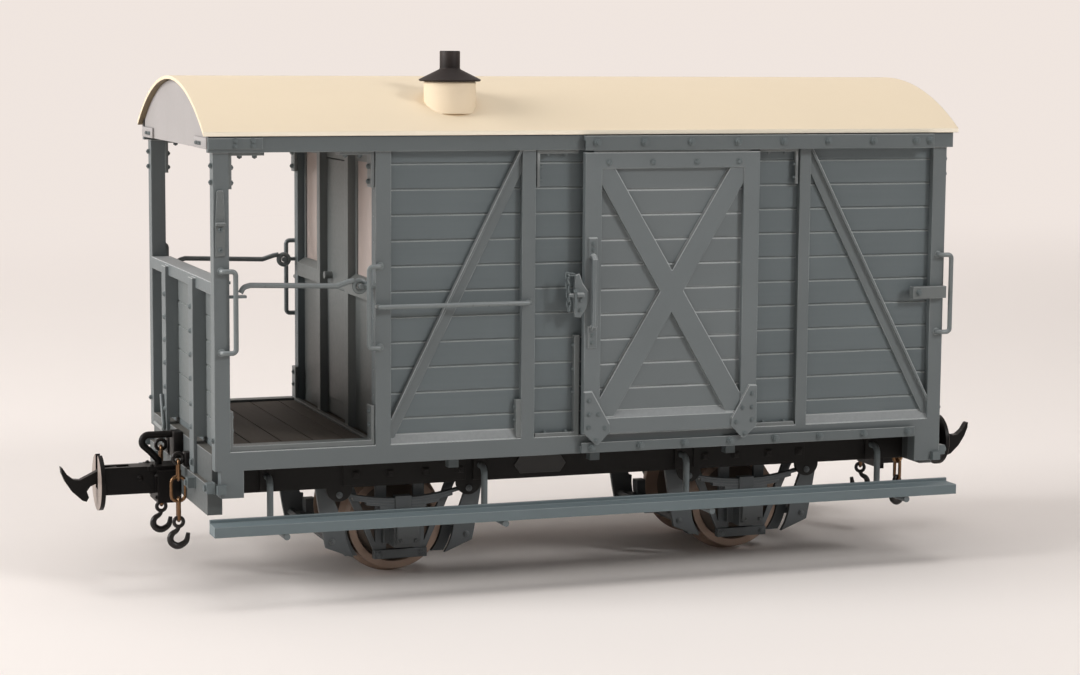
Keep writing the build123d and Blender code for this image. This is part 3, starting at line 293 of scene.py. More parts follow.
# Ways that a head faces
NEAR, OUT_LEFT, OUT_RIGHT = (0, -1, 0), (-1, 0, 0), (1, 0, 0)
frame_paint = coated("frame_paint", FRAME_GREY, FRAME_EDGE, wear=0.5, dusting=0.75, gloss=0.5, mottle=0.07,
                     dust=PALE_DUST_AND_TOP_LIGHT, edge=0.0004, painted_highlight=1.1)
dress(frame_paint, "side_frame_near", "side_frame_far")
cantrail_paint = coated("cantrail_paint", FRAME_GREY, FRAME_EDGE, wear=0.5, dusting=0.3, gloss=0.5,
                        mottle=0.07, painted_highlight=0.6)
# A band of painted shadow along the cantrail's top, under the roof's edge.
zoned(cantrail_paint, "Z", EAVES_SHADOW_FOOT, FRAME_GREY, EAVES_SHADOW)
dress(cantrail_paint, "cantrail_near", "cantrail_far")


def in_line(tree, *steps):
    """Links each node's first result to the next one's first input."""
    for step, following in zip(steps, steps[1:]):
        tree.links.new(step.outputs[0], following.inputs[0])


def bolt_tree():
    """Fasteners on points: a stud in a cone-topped head on a washer, each turned to the point's facing."""
    tree, given, out = new_group("bolt_heads", "GeometryNodeTree", (
        ("Geometry", "Geometry", None), ("Head Sides", "Int", 6), ("Head Radius", "Float", 0.0008),
        ("Head Top", "Float", 0.0008), ("Head Height", "Float", 0.0008), ("Washer Sides", "Int", 12),
        ("Washer Radius", "Float", 0.0012), ("Washer Height", "Float", 0.0003),
        ("Stud Radius", "Float", 0.0004), ("Stud Height", "Float", 0.0012), ("Turn", "Float", 0.0),
        ("Material", "Material", None),
    ), (("Geometry", "Geometry"),))
    add = tree.nodes.new
    join, turn = add("GeometryNodeJoinGeometry"), add("ShaderNodeCombineXYZ")
    feed(tree, turn.inputs["Z"], given["Turn"])
    for part in ("Stud", "Head", "Washer"):
        cone, turned_cone = add("GeometryNodeMeshCone"), add("GeometryNodeTransform")
        for name, value in (
            ("Vertices", 8 if part == "Stud" else given[part + " Sides"]),
            ("Radius Bottom", given[part + " Radius"]),
            ("Radius Top", given["Head Top" if part == "Head" else part + " Radius"]),
            ("Depth", given[part + " Height"]),
        ):
            feed(tree, cone.inputs[name], value)
        feed(tree, turned_cone.inputs["Rotation"], turn.outputs[0])
        in_line(tree, cone, turned_cone, join)
    facing, aim = add("GeometryNodeInputNamedAttribute"), add("FunctionNodeAlignRotationToVector")
    facing.data_type = "FLOAT_VECTOR"
    facing.inputs["Name"].default_value = "facing"
    feed(tree, aim.inputs["Vector"], facing.outputs["Attribute"])
    place, real = add("GeometryNodeInstanceOnPoints"), add("GeometryNodeRealizeInstances")
    for name, value in (("Points", given["Geometry"]), ("Instance", join.outputs[0]),
                        ("Rotation", aim.outputs[0])):
        feed(tree, place.inputs[name], value)
    coat = add("GeometryNodeSetMaterial")
    in_line(tree, place, real, coat)
    feed(tree, coat.inputs["Material"], given["Material"])
    feed(tree, out["Geometry"], coat.outputs[0])
    return tree


BOLT_TREE = bolt_tree()


def grow(name, mesh, tree, inputs, material, body):
    """Runs a Geometry Nodes tree on a mesh and keeps the plain mesh that it makes as the piece."""
    piece = bpy.data.objects.new(name, mesh)
    bpy.context.scene.collection.objects.link(piece)
    modifier = piece.modifiers.new("grow", "NODES")
    modifier.node_group = tree
    for item in tree.interface.items_tree:
        if item.item_type == "SOCKET" and item.in_out == "INPUT":
            if item.name == "Material":
                modifier[item.identifier] = material
            elif item.name in inputs:
                modifier[item.identifier] = inputs[item.name]
    grown = bpy.data.meshes.new_from_object(piece.evaluated_get(bpy.context.evaluated_depsgraph_get()))
    piece.modifiers.clear()
    piece.data = grown
    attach(piece, body)
    return piece


def bolts(name, kind, spots, material, body="van"):
    """Spots: x, y, z in millimetres and the way that the head faces."""
    mesh = bpy.data.meshes.new(name)
    mesh.from_pydata([Vector(s[0:3]) * MM for s in spots], [], [])
    facing = mesh.attributes.new("facing", "FLOAT_VECTOR", "POINT")
    facing.data.foreach_set("vector", [c for s in spots for c in s[3]])
    keys = ("Head Sides", "Head Radius", "Head Top", "Head Height", "Washer Sides", "Washer Radius",
            "Washer Height", "Stud Radius", "Stud Height")
    inputs = {k: (v if "Sides" in k else v * MM) for k, v in zip(keys, kind)}
    # A square head has its flats level
    inputs["Turn"] = math.pi / 4 if kind[0] == 4 else 0.0
    return grow(name, mesh, BOLT_TREE, inputs, material, body)


def both_sides(spots):
    return spots + [(x, -y, z, (n[0], -n[1], n[2])) for x, y, z, n in spots]


frame_bolt = coated("frame_bolt", (0.375, 0.41, 0.418), (0.55, 0.58, 0.57), wear=0.6, dusting=0.05,
                    gloss=0.45, edge=0.0001)
patch_bolts = [(x, CANTRAIL_SIDE, z, NEAR) for x in (-106.1, -101.2) for z in (127.1, 128.5)]
bolts("cantrail_bolts", LITTLE_BOLT, both_sides(patch_bolts), frame_bolt)
foot_nuts = [(x, POST_SIDE, z, NEAR) for x, z in ((-110.4, 32.6), (110.6, 31.5))]
bolts("foot_nuts", FOOT_NUT, both_sides(foot_nuts), frame_bolt)
end_bolts = [(x, -44.4, z, way) for x, way in ((-POST_END, OUT_LEFT), (POST_END, OUT_RIGHT))
             for z in (121.7, 117.2, 46.1)]
bolts("post_end_bolts", SMALL_NUT, both_sides(end_bolts), frame_bolt)
beam_nuts = [(-POST_END, -44.3, 33.0, OUT_LEFT), (-113.3, -24.6, 31.4, OUT_LEFT),
             (POST_END, -44.3, 33.0, OUT_RIGHT)]
bolts("beam_nuts", BEAM_NUT, both_sides(beam_nuts), frame_bolt)

# Side planking: sheet grooved into planks and let in between the posts, in much the frame's grey.
# The lower edge of each joint has a thin painted highlight. Both ends are planked the same way.
PLANK_GREY = (0.388, 0.424, 0.435)
plank_paint = coated("plank_paint", PLANK_GREY, (0.68, 0.70, 0.695), wear=0.25, dusting=0.1, gloss=0.55,
                     mottle=0.08, edge=0.00036, painted_highlight=1.3)
grained(plank_paint, PLANK_GREY, (0.345, 0.382, 0.393), (25, 900, 900), 0.5)
dress(plank_paint, "side_planks_near", "side_planks_far")
end_paint = coated("end_plank_paint", (0.41, 0.43, 0.43), (0.66, 0.69, 0.68), wear=0.3, dusting=0.06,
                   gloss=0.55, mottle=0.08, edge=0.00022, painted_highlight=0.7)
dress(end_paint, "end_wall", "veranda_planks")

# Veranda end: waist rail on two flanged uprights, each riveted through its outer face.
# Rivets are round heads at an even pitch down one edge, with a square nut at the foot.
# The closed end's two uprights are riveted in the same way.
UPRIGHT_FACE = 113.0
RIVET = (12, 0.85, 0.45, 0.6, 12, 0.88, 0.1, 0.2, 0.6)
SQUARE_BOLT = (4, 1.15, 1.1, 0.8, 4, 1.5, 0.25, 0.5, 0.9)
VERANDA_RIVETS = (80.7, 73.8, 67.0, 60.2, 53.0, 46.4)
CLOSED_END_RIVETS = [46.3 + row * 7.15 for row in range(11)]
dress(frame_paint, "veranda_rail")
rivets = [(-UPRIGHT_FACE, y, z, OUT_LEFT) for y in (-19.0, 18.1) for z in VERANDA_RIVETS]
rivets += [(UPRIGHT_FACE, y, z, OUT_RIGHT) for y in (-18.6, 18.6) for z in CLOSED_END_RIVETS]
bolts("upright_rivets", RIVET, rivets, frame_bolt)
upright_nuts = [(-UPRIGHT_FACE, y, 36.5, OUT_LEFT) for y in (-20.6, 20.6)]
bolts("upright_nuts", SQUARE_BOLT, upright_nuts, frame_bolt)

# Bulkhead, its recessed door and its two windows, seen through the veranda.
# Painted as the sides are; the panes are thin sheet with a faint pink bloom, let into the bulkhead.
BULKHEAD_GREY = (0.40, 0.415, 0.41)
BLOOM_SCALE, BLOOM_LEAST, BLOOM_MOST = 90.0, 0.12, 0.3
bulkhead_paint = coated("bulkhead_paint", BULKHEAD_GREY, (0.56, 0.58, 0.57), wear=0.5, dusting=0.06,
                        gloss=0.5)
grained(bulkhead_paint, BULKHEAD_GREY, (0.365, 0.38, 0.375), (900, 900, 25), 0.5)
dress(bulkhead_paint, "bulkhead", "bulkhead_door")
pane, tree, shader = new_material("window_pane")
bloom = tree.nodes.new("ShaderNodeMapRange")
for socket, value in (
    (shader["Base Color"], linear((0.86, 0.80, 0.77))), (shader["Transmission Weight"], 0.45),
    (shader["IOR"], 1.2), (bloom.inputs["To Min"], BLOOM_LEAST), (bloom.inputs["To Max"], BLOOM_MOST),
    (bloom.inputs["Value"], cloud(tree, object_place(tree), BLOOM_SCALE)),
    (shader["Roughness"], bloom.outputs[0]),
):
    feed(tree, socket, value)
dress(pane, "bulkhead_windows")

# Roof: one sheet bent to a shallow arc, cream above, with a painted highlight on its cut edges, and bare
# brown below.
# The lunettes that close its ends are pale lilac-grey sheet, with bolted plates at their corners.
ROOF_CREAM = (0.925, 0.855, 0.745)
ROOF_EDGE_HIGHLIGHT = (1.0, 0.96, 0.88)
ROOF_UNDERSIDE = (0.43, 0.37, 0.27)
ROOF_DUST = (0.80, 0.73, 0.63)
# How far a face leans before it takes the cut edge's painted highlight or counts as the underside
EDGE_LEAN, UNDERSIDE_LEAN = 0.6, -0.3
ROOF_HALF, ROOF_RISE, ROOF_SHEET, EAVES, ROOF_END, ROOF_STEPS = 47.6, 14.5, 1.0, 130.9, 114.9, 72
LUNETTE_BOLT = (6, 0.5, 0.46, 0.4, 12, 0.6, 0.1, 0.25, 0.5)


def roof_arc():
    radius = (ROOF_HALF ** 2 + ROOF_RISE ** 2) / (2 * ROOF_RISE)
    middle = EAVES + ROOF_RISE - radius
    mesh = bpy.data.meshes.new("roof_sheet")
    shape = bmesh.new()
    rings = []
    for x in (-ROOF_END, ROOF_END):
        ring = []
        for r in (radius, radius - ROOF_SHEET):
            limit = math.asin(ROOF_HALF / r)
            for i in range(ROOF_STEPS + 1):
                a = limit * (2 * i / ROOF_STEPS - 1)
                ring.append(shape.verts.new((x * MM, r * math.sin(a) * MM, (middle + r * math.cos(a)) * MM)))
        rings.append(ring)
    n = ROOF_STEPS + 1
    for i in range(ROOF_STEPS):
        shape.faces.new((rings[0][i], rings[1][i], rings[1][i + 1], rings[0][i + 1]))
        shape.faces.new((rings[0][n + i + 1], rings[1][n + i + 1], rings[1][n + i], rings[0][n + i]))
        for ring in rings:
            shape.faces.new((ring[i], ring[i + 1], ring[n + i + 1], ring[n + i]))
    for i in (0, ROOF_STEPS):
        shape.faces.new((rings[0][i], rings[0][n + i], rings[1][n + i], rings[1][i]))
    bmesh.ops.recalc_face_normals(shape, faces=shape.faces)
    shape.to_mesh(mesh)
    mesh.shade_smooth()
    return mesh


def smooth_piece(name, mesh, material, body, slot, *nodes):
    piece = bpy.data.objects.new(name, mesh)
    bpy.context.scene.collection.objects.link(piece)
    mesh.materials.clear()
    mesh.materials.append(material)
    mesh.set_sharp_from_angle(angle=math.radians(32))
    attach(piece, body)
    if nodes:
        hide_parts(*nodes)
    return piece


def eased_plates(name, plates, mirrored, ease, material, slot):
    """Plates: two opposite corners in millimetres, made on both sides of 0 on the mirrored axis."""
    shape = bmesh.new()
    for low, high in plates:
        low, high = Vector(low), Vector(high)
        for side in (1, -1):
            middle = (high + low) / 2
            middle[mirrored] *= side
            made = bmesh.ops.create_cube(shape, size=1.0)["verts"]
            bmesh.ops.scale(shape, verts=made, vec=(high - low) * MM)
            bmesh.ops.translate(shape, verts=made, vec=middle * MM)
    bmesh.ops.bevel(shape, geom=shape.edges[:], offset=ease * MM, segments=2, profile=0.5, affect="EDGES")
    bmesh.ops.recalc_face_normals(shape, faces=shape.faces)
    mesh = bpy.data.meshes.new(name)
    shape.to_mesh(mesh)
    mesh.shade_smooth()
    return smooth_piece(name, mesh, material, "van", slot)


roof_paint = coated("roof_sheet_cream", ROOF_CREAM, (0.95, 0.90, 0.82), wear=0.25, dusting=0.04, gloss=0.62,
                    mottle=0.03, patch=18.0, relief=0.12, dust=ROOF_DUST)
tree, coat = coat_input(roof_paint)
lean = tree.nodes.new("ShaderNodeNewGeometry").outputs["Normal"]
# Painted highlight: the sheet's cut edges, which face to either side, are made paler than the cream.
on_edge = reckon(tree, "GREATER_THAN", reckon(tree, "ABSOLUTE", component(tree, lean, "Y")), EDGE_LEAN)
below = reckon(tree, "LESS_THAN", component(tree, lean, "Z"), UNDERSIDE_LEAN)
above_colour = blend(tree, on_edge, linear(ROOF_CREAM), linear(ROOF_EDGE_HIGHLIGHT))
feed(tree, coat, blend(tree, below, above_colour, linear(ROOF_UNDERSIDE)))
smooth_piece("roof_sheet", roof_arc(), roof_paint, "van", "roof_cream", "roof")

lunette_paint = coated("lunette_paint", (0.63, 0.615, 0.61), (0.75, 0.74, 0.74), wear=0.4, dusting=0.05,
                       gloss=0.55)
dress(lunette_paint, "lunette_left", "lunette_right")
LUNETTE_FACE = -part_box("lunette_left")[0].x * 1000
PLATE_FACE = LUNETTE_FACE + 0.7
corner_plates = [((LUNETTE_FACE, y, 126.2), (PLATE_FACE, y + 15.7, 129.3)) for y in (-45.9, 30.2)]
eased_plates("lunette_corner_plates", corner_plates, 0, 0.15, lunette_paint, "frame_grey")
lunette_bolts = [(s * PLATE_FACE, y, 127.6, (s, 0, 0)) for s in (-1, 1)
                 for y in (-38.9, -37.3, -34.9, -33.3, 33.3, 34.9, 37.3, 38.9)]
bolts("lunette_bolts", LUNETTE_BOLT, lunette_bolts, frame_bolt)

# Chimney: a turned collar in the roof's cream, let into the sheet and eased round its top edge.
# The cowl that sits on it is black with soot, and is coned up to a short open pipe.
CHIMNEY = (-41.0, -34.0)
COLLAR = ((7.4, -9.0), (7.4, -0.35), (7.1, 0.0), (0.0, 0.0))
COWL = ((0.0, 0.02), (8.5, 0.02), (8.8, 0.3), (8.8, 0.55), (3.1, 3.4), (2.9, 3.7), (2.9, 8.3), (2.75, 8.6),
        (2.35, 8.6), (2.3, 8.4), (2.3, 4.6), (0.0, 4.6))
TURNING_STEPS = 64


def turned(profile, at):
    """Profile: radius, height; spun round the upright axis through a place in millimetres."""
    shape = bmesh.new()
    ring = [shape.verts.new((r * MM, 0, h * MM)) for r, h in profile]
    for a, b in zip(ring, ring[1:]):
        shape.edges.new((a, b))
    bmesh.ops.spin(shape, geom=shape.verts[:] + shape.edges[:], cent=(0, 0, 0), axis=(0, 0, 1),
                   angle=2 * math.pi, steps=TURNING_STEPS, use_duplicate=False)
    bmesh.ops.remove_doubles(shape, verts=shape.verts, dist=1e-6)
    bmesh.ops.holes_fill(shape, edges=shape.edges, sides=0)
    bmesh.ops.recalc_face_normals(shape, faces=shape.faces)
    bmesh.ops.translate(shape, verts=shape.verts, vec=Vector(at) * MM)
    mesh = bpy.data.meshes.new("turned")
    shape.to_mesh(mesh)
    mesh.shade_smooth()
    return mesh


collar_paint = coated("collar_paint", ROOF_CREAM, (0.97, 0.93, 0.86), wear=0.3, dusting=0.05, gloss=0.6,
                      mottle=0.03, dust=ROOF_DUST)
cowl_black = coated("cowl_soot", (0.11, 0.08, 0.075), (0.36, 0.32, 0.30), wear=0.4, dusting=0.12, gloss=0.55,
                    mottle=0.2, dust=(0.34, 0.30, 0.28), shine=0.25)
collar_top = (*CHIMNEY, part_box("chimney_base")[1].z * 1000)
smooth_piece("chimney_collar", turned(COLLAR, collar_top), collar_paint, "van", "roof_cream", "chimney_base")
smooth_piece("chimney_cowl", turned(COWL, collar_top), cowl_black, "van", "cowl_black", "chimney_cap")

# Door tracks: flat bars bolted along the cantrail and the sill, in the frame's grey.
# Hexagon nuts on round washers stand at an even pitch.
HEX_NUT = (6, 1.0, 0.95, 0.8, 14, 1.25, 0.25, 0.5, 1.2)
# Nuts of the hanging track and of the guide bar: face, height, places along it
TRACK_NUTS = (
    (-49.3, 127.5, (-1.8, 12.7, 27.3, 41.9, 56.6, 71.0, 85.8, 100.0, 104.6)),
    (-47.9, 39.6, (-2.1, 13.0, 27.1, 41.6, 56.2, 70.8, 85.4, 100.2)),
)
# The door tracks take the cantrail's paint, so the hanging track carries its band of painted shadow under the
# roof's edge.
dress(cantrail_paint, "door_tracks_near", "door_tracks_far")
track_nuts = [(x, face, z, NEAR) for face, z, places in TRACK_NUTS for x in places]
bolts("track_nuts", HEX_NUT, both_sides(track_nuts), frame_bolt)

# Sliding doors: framed and cross-braced in flat bar, with pointed guide plates at the foot.
# Small bolts hold the plates, the grab bar's feet and the hasp; round heads hold the hangers.
SIDES = ((1, "near"), (-1, "far"))
DOME = (14, 0.9, 0.5, 0.55, 14, 0.95, 0.15, 0.3, 0.6)
DOOR_LEFT, DOOR_RIGHT, DOOR_FOOT = -5.0, 49.3, 43.4
GUIDE_FACE, GRAB_FACE, HASP_FACE, HANGER_FACE = -49.2, -49.1, -49.4, -48.6
# Bolts of a guide plate: in from the door's edge, up from its foot
GUIDE_BOLTS = ((1.5, 10.0), (1.5, 6.0), (4.4, 5.9), (1.4, 2.2), (6.5, 1.8), (3.7, -1.7))
# The door's coat paints a highlight along upturned arrises, and pale dust with painted top light on its
# ledges.
door_paint = coated("door_paint", (0.393, 0.423, 0.431), FRAME_EDGE, wear=0.45, dusting=0.6, gloss=0.5,
                    mottle=0.07, dust=PALE_DUST_AND_TOP_LIGHT, edge=0.0004, painted_highlight=1.3)
dress(door_paint, "door_near", "door_far")
plate_spots = [(edge + way * a, GUIDE_FACE, DOOR_FOOT + b)
               for edge, way in ((DOOR_LEFT, 1), (DOOR_RIGHT, -1)) for a, b in GUIDE_BOLTS]
plate_spots += [(-2.6, GRAB_FACE, z) for z in (98.6, 96.9, 72.3, 70.1)]
plate_spots += [(-6.4, HASP_FACE, 82.6), (-6.6, HASP_FACE, 79.6)]
hanger_spots = [(x, HANGER_FACE, 121.7) for x in (2.1, 15.6, 29.4, 42.7)]
for side, name in SIDES:
    for kind, what, spots in ((LITTLE_BOLT, "bolts_", plate_spots), (DOME, "domes_", hanger_spots)):
        placed = [(x, side * y, z, (0, -side, 0)) for x, y, z in spots]
        bolts("door_" + what + name, kind, placed, frame_bolt, "door_" + name)

# Footboards: one plank a side with a raised back lip, on bent round hangers bolted to the solebars.
# Worn blue-grey paint, rubbed pale on the lips and with a painted highlight along their upper arris, and dust
# on the tread.
HANGER_X = (-94.0, -30.4, 33.2, 96.8)
# Path of a hanger rod: across from the van's middle, height
HANGER_PATH = ((30.6, 33.1), (35.0, 33.1), (35.0, 20.15), (54.7, 20.15))
HANGER_NUT = (6, 0.7, 0.65, 0.6, 12, 0.9, 0.15, 0.35, 0.8)
step_paint = coated("footboard_paint", (0.385, 0.435, 0.45), (0.62, 0.65, 0.65), wear=0.45, dusting=0.2,
                    gloss=0.5, mottle=0.12, patch=40.0, dust=(0.60, 0.64, 0.65), painted_highlight=0.6)
dress(step_paint, "footboard_near", "footboard_far")


def rod_tree():
    """Round rod along a path, bent at its corners, with an optional swell at the middle of its length."""
    tree, given, out = new_group("bent_rods", "GeometryNodeTree", (
        ("Geometry", "Geometry", None), ("Rod Radius", "Float", 0.001), ("Bend Radius", "Float", 0.002),
        ("Swell", "Float", 0.0), ("Material", "Material", None),
    ), (("Geometry", "Geometry"),))
    add = tree.nodes.new
    line, fillet = add("GeometryNodeMeshToCurve"), add("GeometryNodeFilletCurve")
    profile, skin = add("GeometryNodeCurvePrimitiveCircle"), add("GeometryNodeCurveToMesh")
    smooth, coat = add("GeometryNodeSetShadeSmooth"), add("GeometryNodeSetMaterial")
    along = add("GeometryNodeSplineParameter").outputs["Factor"]
    bulge = reckon(tree, "SINE", reckon(tree, "MULTIPLY", along, math.pi))
    fillet.mode = "POLY"
    for socket, value in (
        (line.inputs["Mesh"], given["Geometry"]), (fillet.inputs["Count"], 6),
        (fillet.inputs["Limit Radius"], True), (fillet.inputs["Radius"], given["Bend Radius"]),
        (profile.inputs["Resolution"], 14), (profile.inputs["Radius"], given["Rod Radius"]),
        (skin.inputs["Profile Curve"], profile.outputs[0]), (skin.inputs["Fill Caps"], True),
        (skin.inputs["Scale"], reckon(tree, "ADD", reckon(tree, "MULTIPLY", bulge, given["Swell"]), 1.0)),
        (coat.inputs["Material"], given["Material"]), (out["Geometry"], coat.outputs[0]),
    ):
        feed(tree, socket, value)
    in_line(tree, line, fillet, skin, add("GeometryNodeRealizeInstances"), smooth, coat)
    return tree


ROD_TREE = rod_tree()


def rods(name, paths, radius, bend, material, body, slot, *nodes, closed=False, swell=0.0):
    """Paths: lists of points in millimetres that each rod's middle follows."""
    verts, edges = [], []
    for path in paths:
        start = len(verts)
        verts += [Vector(p) * MM for p in path]
        edges += [(start + i, start + i + 1) for i in range(len(path) - 1)]
        if closed:
            edges.append((len(verts) - 1, start))
    mesh = bpy.data.meshes.new(name)
    mesh.from_pydata(verts, edges, [])
    sizes = {"Rod Radius": radius * MM, "Bend Radius": bend * MM, "Swell": swell}
    piece = grow(name, mesh, ROD_TREE, sizes, material, body)
    piece.data.set_sharp_from_angle(angle=math.radians(50))
    if nodes:
        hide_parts(*nodes)
    return piece


hanger_paint = coated("hanger_paint", (0.40, 0.435, 0.445), (0.6, 0.62, 0.62), wear=0.6, dusting=0.15,
                      gloss=0.5)
for side, name in SIDES:
    paths = [[(x, -side * y, z) for y, z in HANGER_PATH] for x in HANGER_X]
    rods("hanger_rods_" + name, paths, 0.95, 2.2, hanger_paint, "van", "frame_grey",
         "footboard_hangers_" + name)
brackets = [((x - 2.0, 30.02, 28.8), (x + 2.0, 30.98, 36.7)) for x in HANGER_X]
eased_plates("hanger_brackets", brackets, 1, 0.22, solebar_paint, "underframe_black")
hanger_bolts = [(x - 1.0, -31.0, 35.2, NEAR) for x in HANGER_X]
bolts("hanger_bolts", HANGER_NUT, both_sides(hanger_bolts), solebar_paint)

# Wheelsets: cast wheels with a coned tread on a plain axle, rust-brown on the tyre and dark on the web.
# The rim's face is rubbed by use; the dished web stays dark.
AXLES = (("left", -53.0), ("right", 55.8))
AXLE_HEIGHT, RIM_INSIDE = 0.0158, 0.0117
WEB_BROWN, RIM_BROWN = (0.38, 0.335, 0.30), (0.60, 0.51, 0.45)
for name, along in AXLES:
    iron = coated("wheelset_" + name + "_iron", (0.40, 0.36, 0.32), (0.62, 0.58, 0.54), wear=0.7,
                  dusting=0.15, gloss=0.45, mottle=0.2, patch=120.0, metallic=0.3, dust=(0.5, 0.44, 0.38))
    tree, coat = coat_input(iron)
    from_axle = reckon_vector(tree, "SUBTRACT", object_place(tree), (along * MM, 0.0, AXLE_HEIGHT))
    reach = reckon_vector(tree, "LENGTH", reckon_vector(tree, "MULTIPLY", from_axle, (1, 0, 1)))
    beyond = reckon(tree, "GREATER_THAN", reach, RIM_INSIDE)
    feed(tree, coat, blend(tree, beyond, linear(WEB_BROWN), linear(RIM_BROWN)))
    dress(iron, "wheelset_" + name)

# Running gear: axle guards with stays, axleboxes, leaf springs and brake hangers.
# Cast and plate iron in dark grey with brown dust, bolted to the solebars at each axle.
GEAR_NUT = (6, 0.8, 0.75, 0.6, 12, 1.0, 0.15, 0.35, 0.8)
COVER_BOLT = (6, 0.5, 0.45, 0.4, 10, 0.6, 0.1, 0.2, 0.5)
# Nuts at each axle: distance from it along X, face, height
GEAR_NUTS = ((19.5, -30.0, 26.3), (20.4, -25.0, 11.8), (20.4, -25.0, 26.6), (6.4, -25.9, 7.3))
gear_paint = coated("running_gear_paint", (0.285, 0.305, 0.315), (0.52, 0.54, 0.54), wear=0.5,
                    dusting=0.22, gloss=0.5, mottle=0.15, dust=(0.45, 0.42, 0.39))
dress(gear_paint, "axle_guards_near", "axle_guards_far", "brake_gear_left", "brake_gear_right",
      "springs_near", "springs_far")
box_paint = coated("axlebox_paint", (0.27, 0.288, 0.295), (0.50, 0.52, 0.52), wear=0.55, dusting=0.2,
                   gloss=0.48, mottle=0.15)
dress(box_paint, "axleboxes_near", "axleboxes_far")
solebar_spots, gear_spots, cover_spots = [], [], []
for _, centre in AXLES:
    solebar_spots += [(centre + along, -30.5, 32.1, NEAR) for along in (-14.7, -4.6, 6.2, 16.5)]
    gear_spots += [(centre + s * along, face, z, NEAR) for along, face, z in GEAR_NUTS for s in (-1, 1)]
    cover_spots += [(centre + a, -33.5, 15.2 + b, NEAR) for a in (-2.3, 2.3) for b in (-2.7, 2.7)]
bolts("solebar_bolts", SQUARE_BOLT, both_sides(solebar_spots), solebar_paint)
bolts("gear_bolts", GEAR_NUT, both_sides(gear_spots), gear_paint)
bolts("cover_bolts", COVER_BOLT, both_sides(cover_spots), box_paint)

# Couplings: black castings with a slotted buffer disc, a hook that lifts and a bail over the pocket.
# The disc's outer face is rubbed to bare pale steel, and the castings' edges are worn to dark metal.
ENDS = ((-1, "left"), (1, "right"))
UP = (0, 0, 1)
CASTING_BLACK, WORN_CASTING, DISC_STEEL = (0.06, 0.052, 0.052), (0.30, 0.28, 0.27), (0.60, 0.55, 0.52)
DISC_FACE = 0.13675
# Bail: distance out from the headstock's face, height
BAIL = ((2.0, 41.5), (12.2, 41.5), (11.3, 38.5), (9.3, 36.7), (6.8, 34.0), (6.8, 32.9))


def casting_paint(name):
    return coated(name, CASTING_BLACK, WORN_CASTING, wear=0.3, dusting=0.03, gloss=0.42, mottle=0.2,
                  shine=0.18)


coupling_black = casting_paint("coupling_black")
dress(coupling_black, "coupling_hook_left", "coupling_hook_right")
for end, name in ENDS:
    rubbed = casting_paint("coupling_" + name + "_black")
    colours = (DISC_STEEL, CASTING_BLACK) if end < 0 else (CASTING_BLACK, DISC_STEEL)
    zoned(rubbed, "X", end * DISC_FACE, *colours)
    dress(rubbed, "coupling_" + name)
    path = [(end * (POST_END + out), 0, z) for out, z in BAIL]
    rods("bail_" + name, [path], 1.03, 2.0, coupling_black, "van", "underframe_black",
         "coupling_bail_" + name)
bail_block = ((POST_END + 0.02, -3.0, 34.7), (POST_END + 2.9, 3.0, 42.4))
eased_plates("bail_blocks", [bail_block], 0, 0.3, coupling_black, "underframe_black")
pocket_bolts = [(s * 120.2, y, z, (s, 0, 0)) for s in (-1, 1) for y in (-4.7, 4.7) for z in (23.8, 30.2)]
pocket_bolts += [(s * 121.4, y, 32.9, UP) for s in (-1, 1) for y in (-3.3, 3.3)]
bolts("pocket_bolts", LITTLE_BOLT, pocket_bolts, coupling_black)
shank_pins = [(s * 124.8, -3.2, 29.4, NEAR) for s in (-1, 1)]
bolts("shank_pins", DOME, both_sides(shank_pins), coupling_black)

# Safety chains: brass links on a plate's eye, with a bent steel hook at the foot.
# Each link is bent round wire and hangs in the one above; those at the closed end are a little turned.
CHAIN_OUT, CHAIN_ACROSS, CHAIN_TURN = 115.6, 12.8, math.radians(21)
# Links: top, bottom, half width, whether it lies across the van
LINKS = ((35.9, 30.2, 1.05, True), (31.1, 23.9, 2.05, False), (24.9, 18.3, 1.05, True))
# Rings: middle height, radius; the upper one is the plate's eye, the lower one the hook's
CHAIN_RINGS = ((36.4, 1.5), (17.86, 1.35))
CHAIN_HOOK = ((0, -1.5), (0.5, -2.6), (2.3, -3.4), (2.6, -5.9), (0.2, -7.3), (-2.3, -5.9), (-2.75, -3.3))
chain_brass = coated("chain_brass", (0.42, 0.31, 0.22), (0.86, 0.70, 0.50), wear=0.8, dusting=0.03,
                     gloss=0.24, mottle=0.5, patch=220.0, metallic=0.85, dust=(0.3, 0.22, 0.16))
chain_steel = coated("chain_steel", (0.09, 0.08, 0.08), (0.40, 0.36, 0.34), wear=0.4, dusting=0.03,
                     gloss=0.3, mottle=0.3, patch=200.0, shine=0.35)


def hung(points, end, side):
    """Points of a chain that hangs at one corner of the van: out along the van, across it, height."""
    turn = CHAIN_TURN if end > 0 else 0.0
    placed = []
    for along, across, z in points:
        x = CHAIN_OUT + along * math.cos(turn) - across * math.sin(turn)
        y = -CHAIN_ACROSS + along * math.sin(turn) + across * math.cos(turn)
        placed.append((end * x, side * y, z))
    return placed


def round_path(x, y, z, radius, steps=20):
    angles = [2 * math.pi * i / steps for i in range(steps)]
    return [(x + radius * math.cos(a), y, z + radius * math.sin(a)) for a in angles]


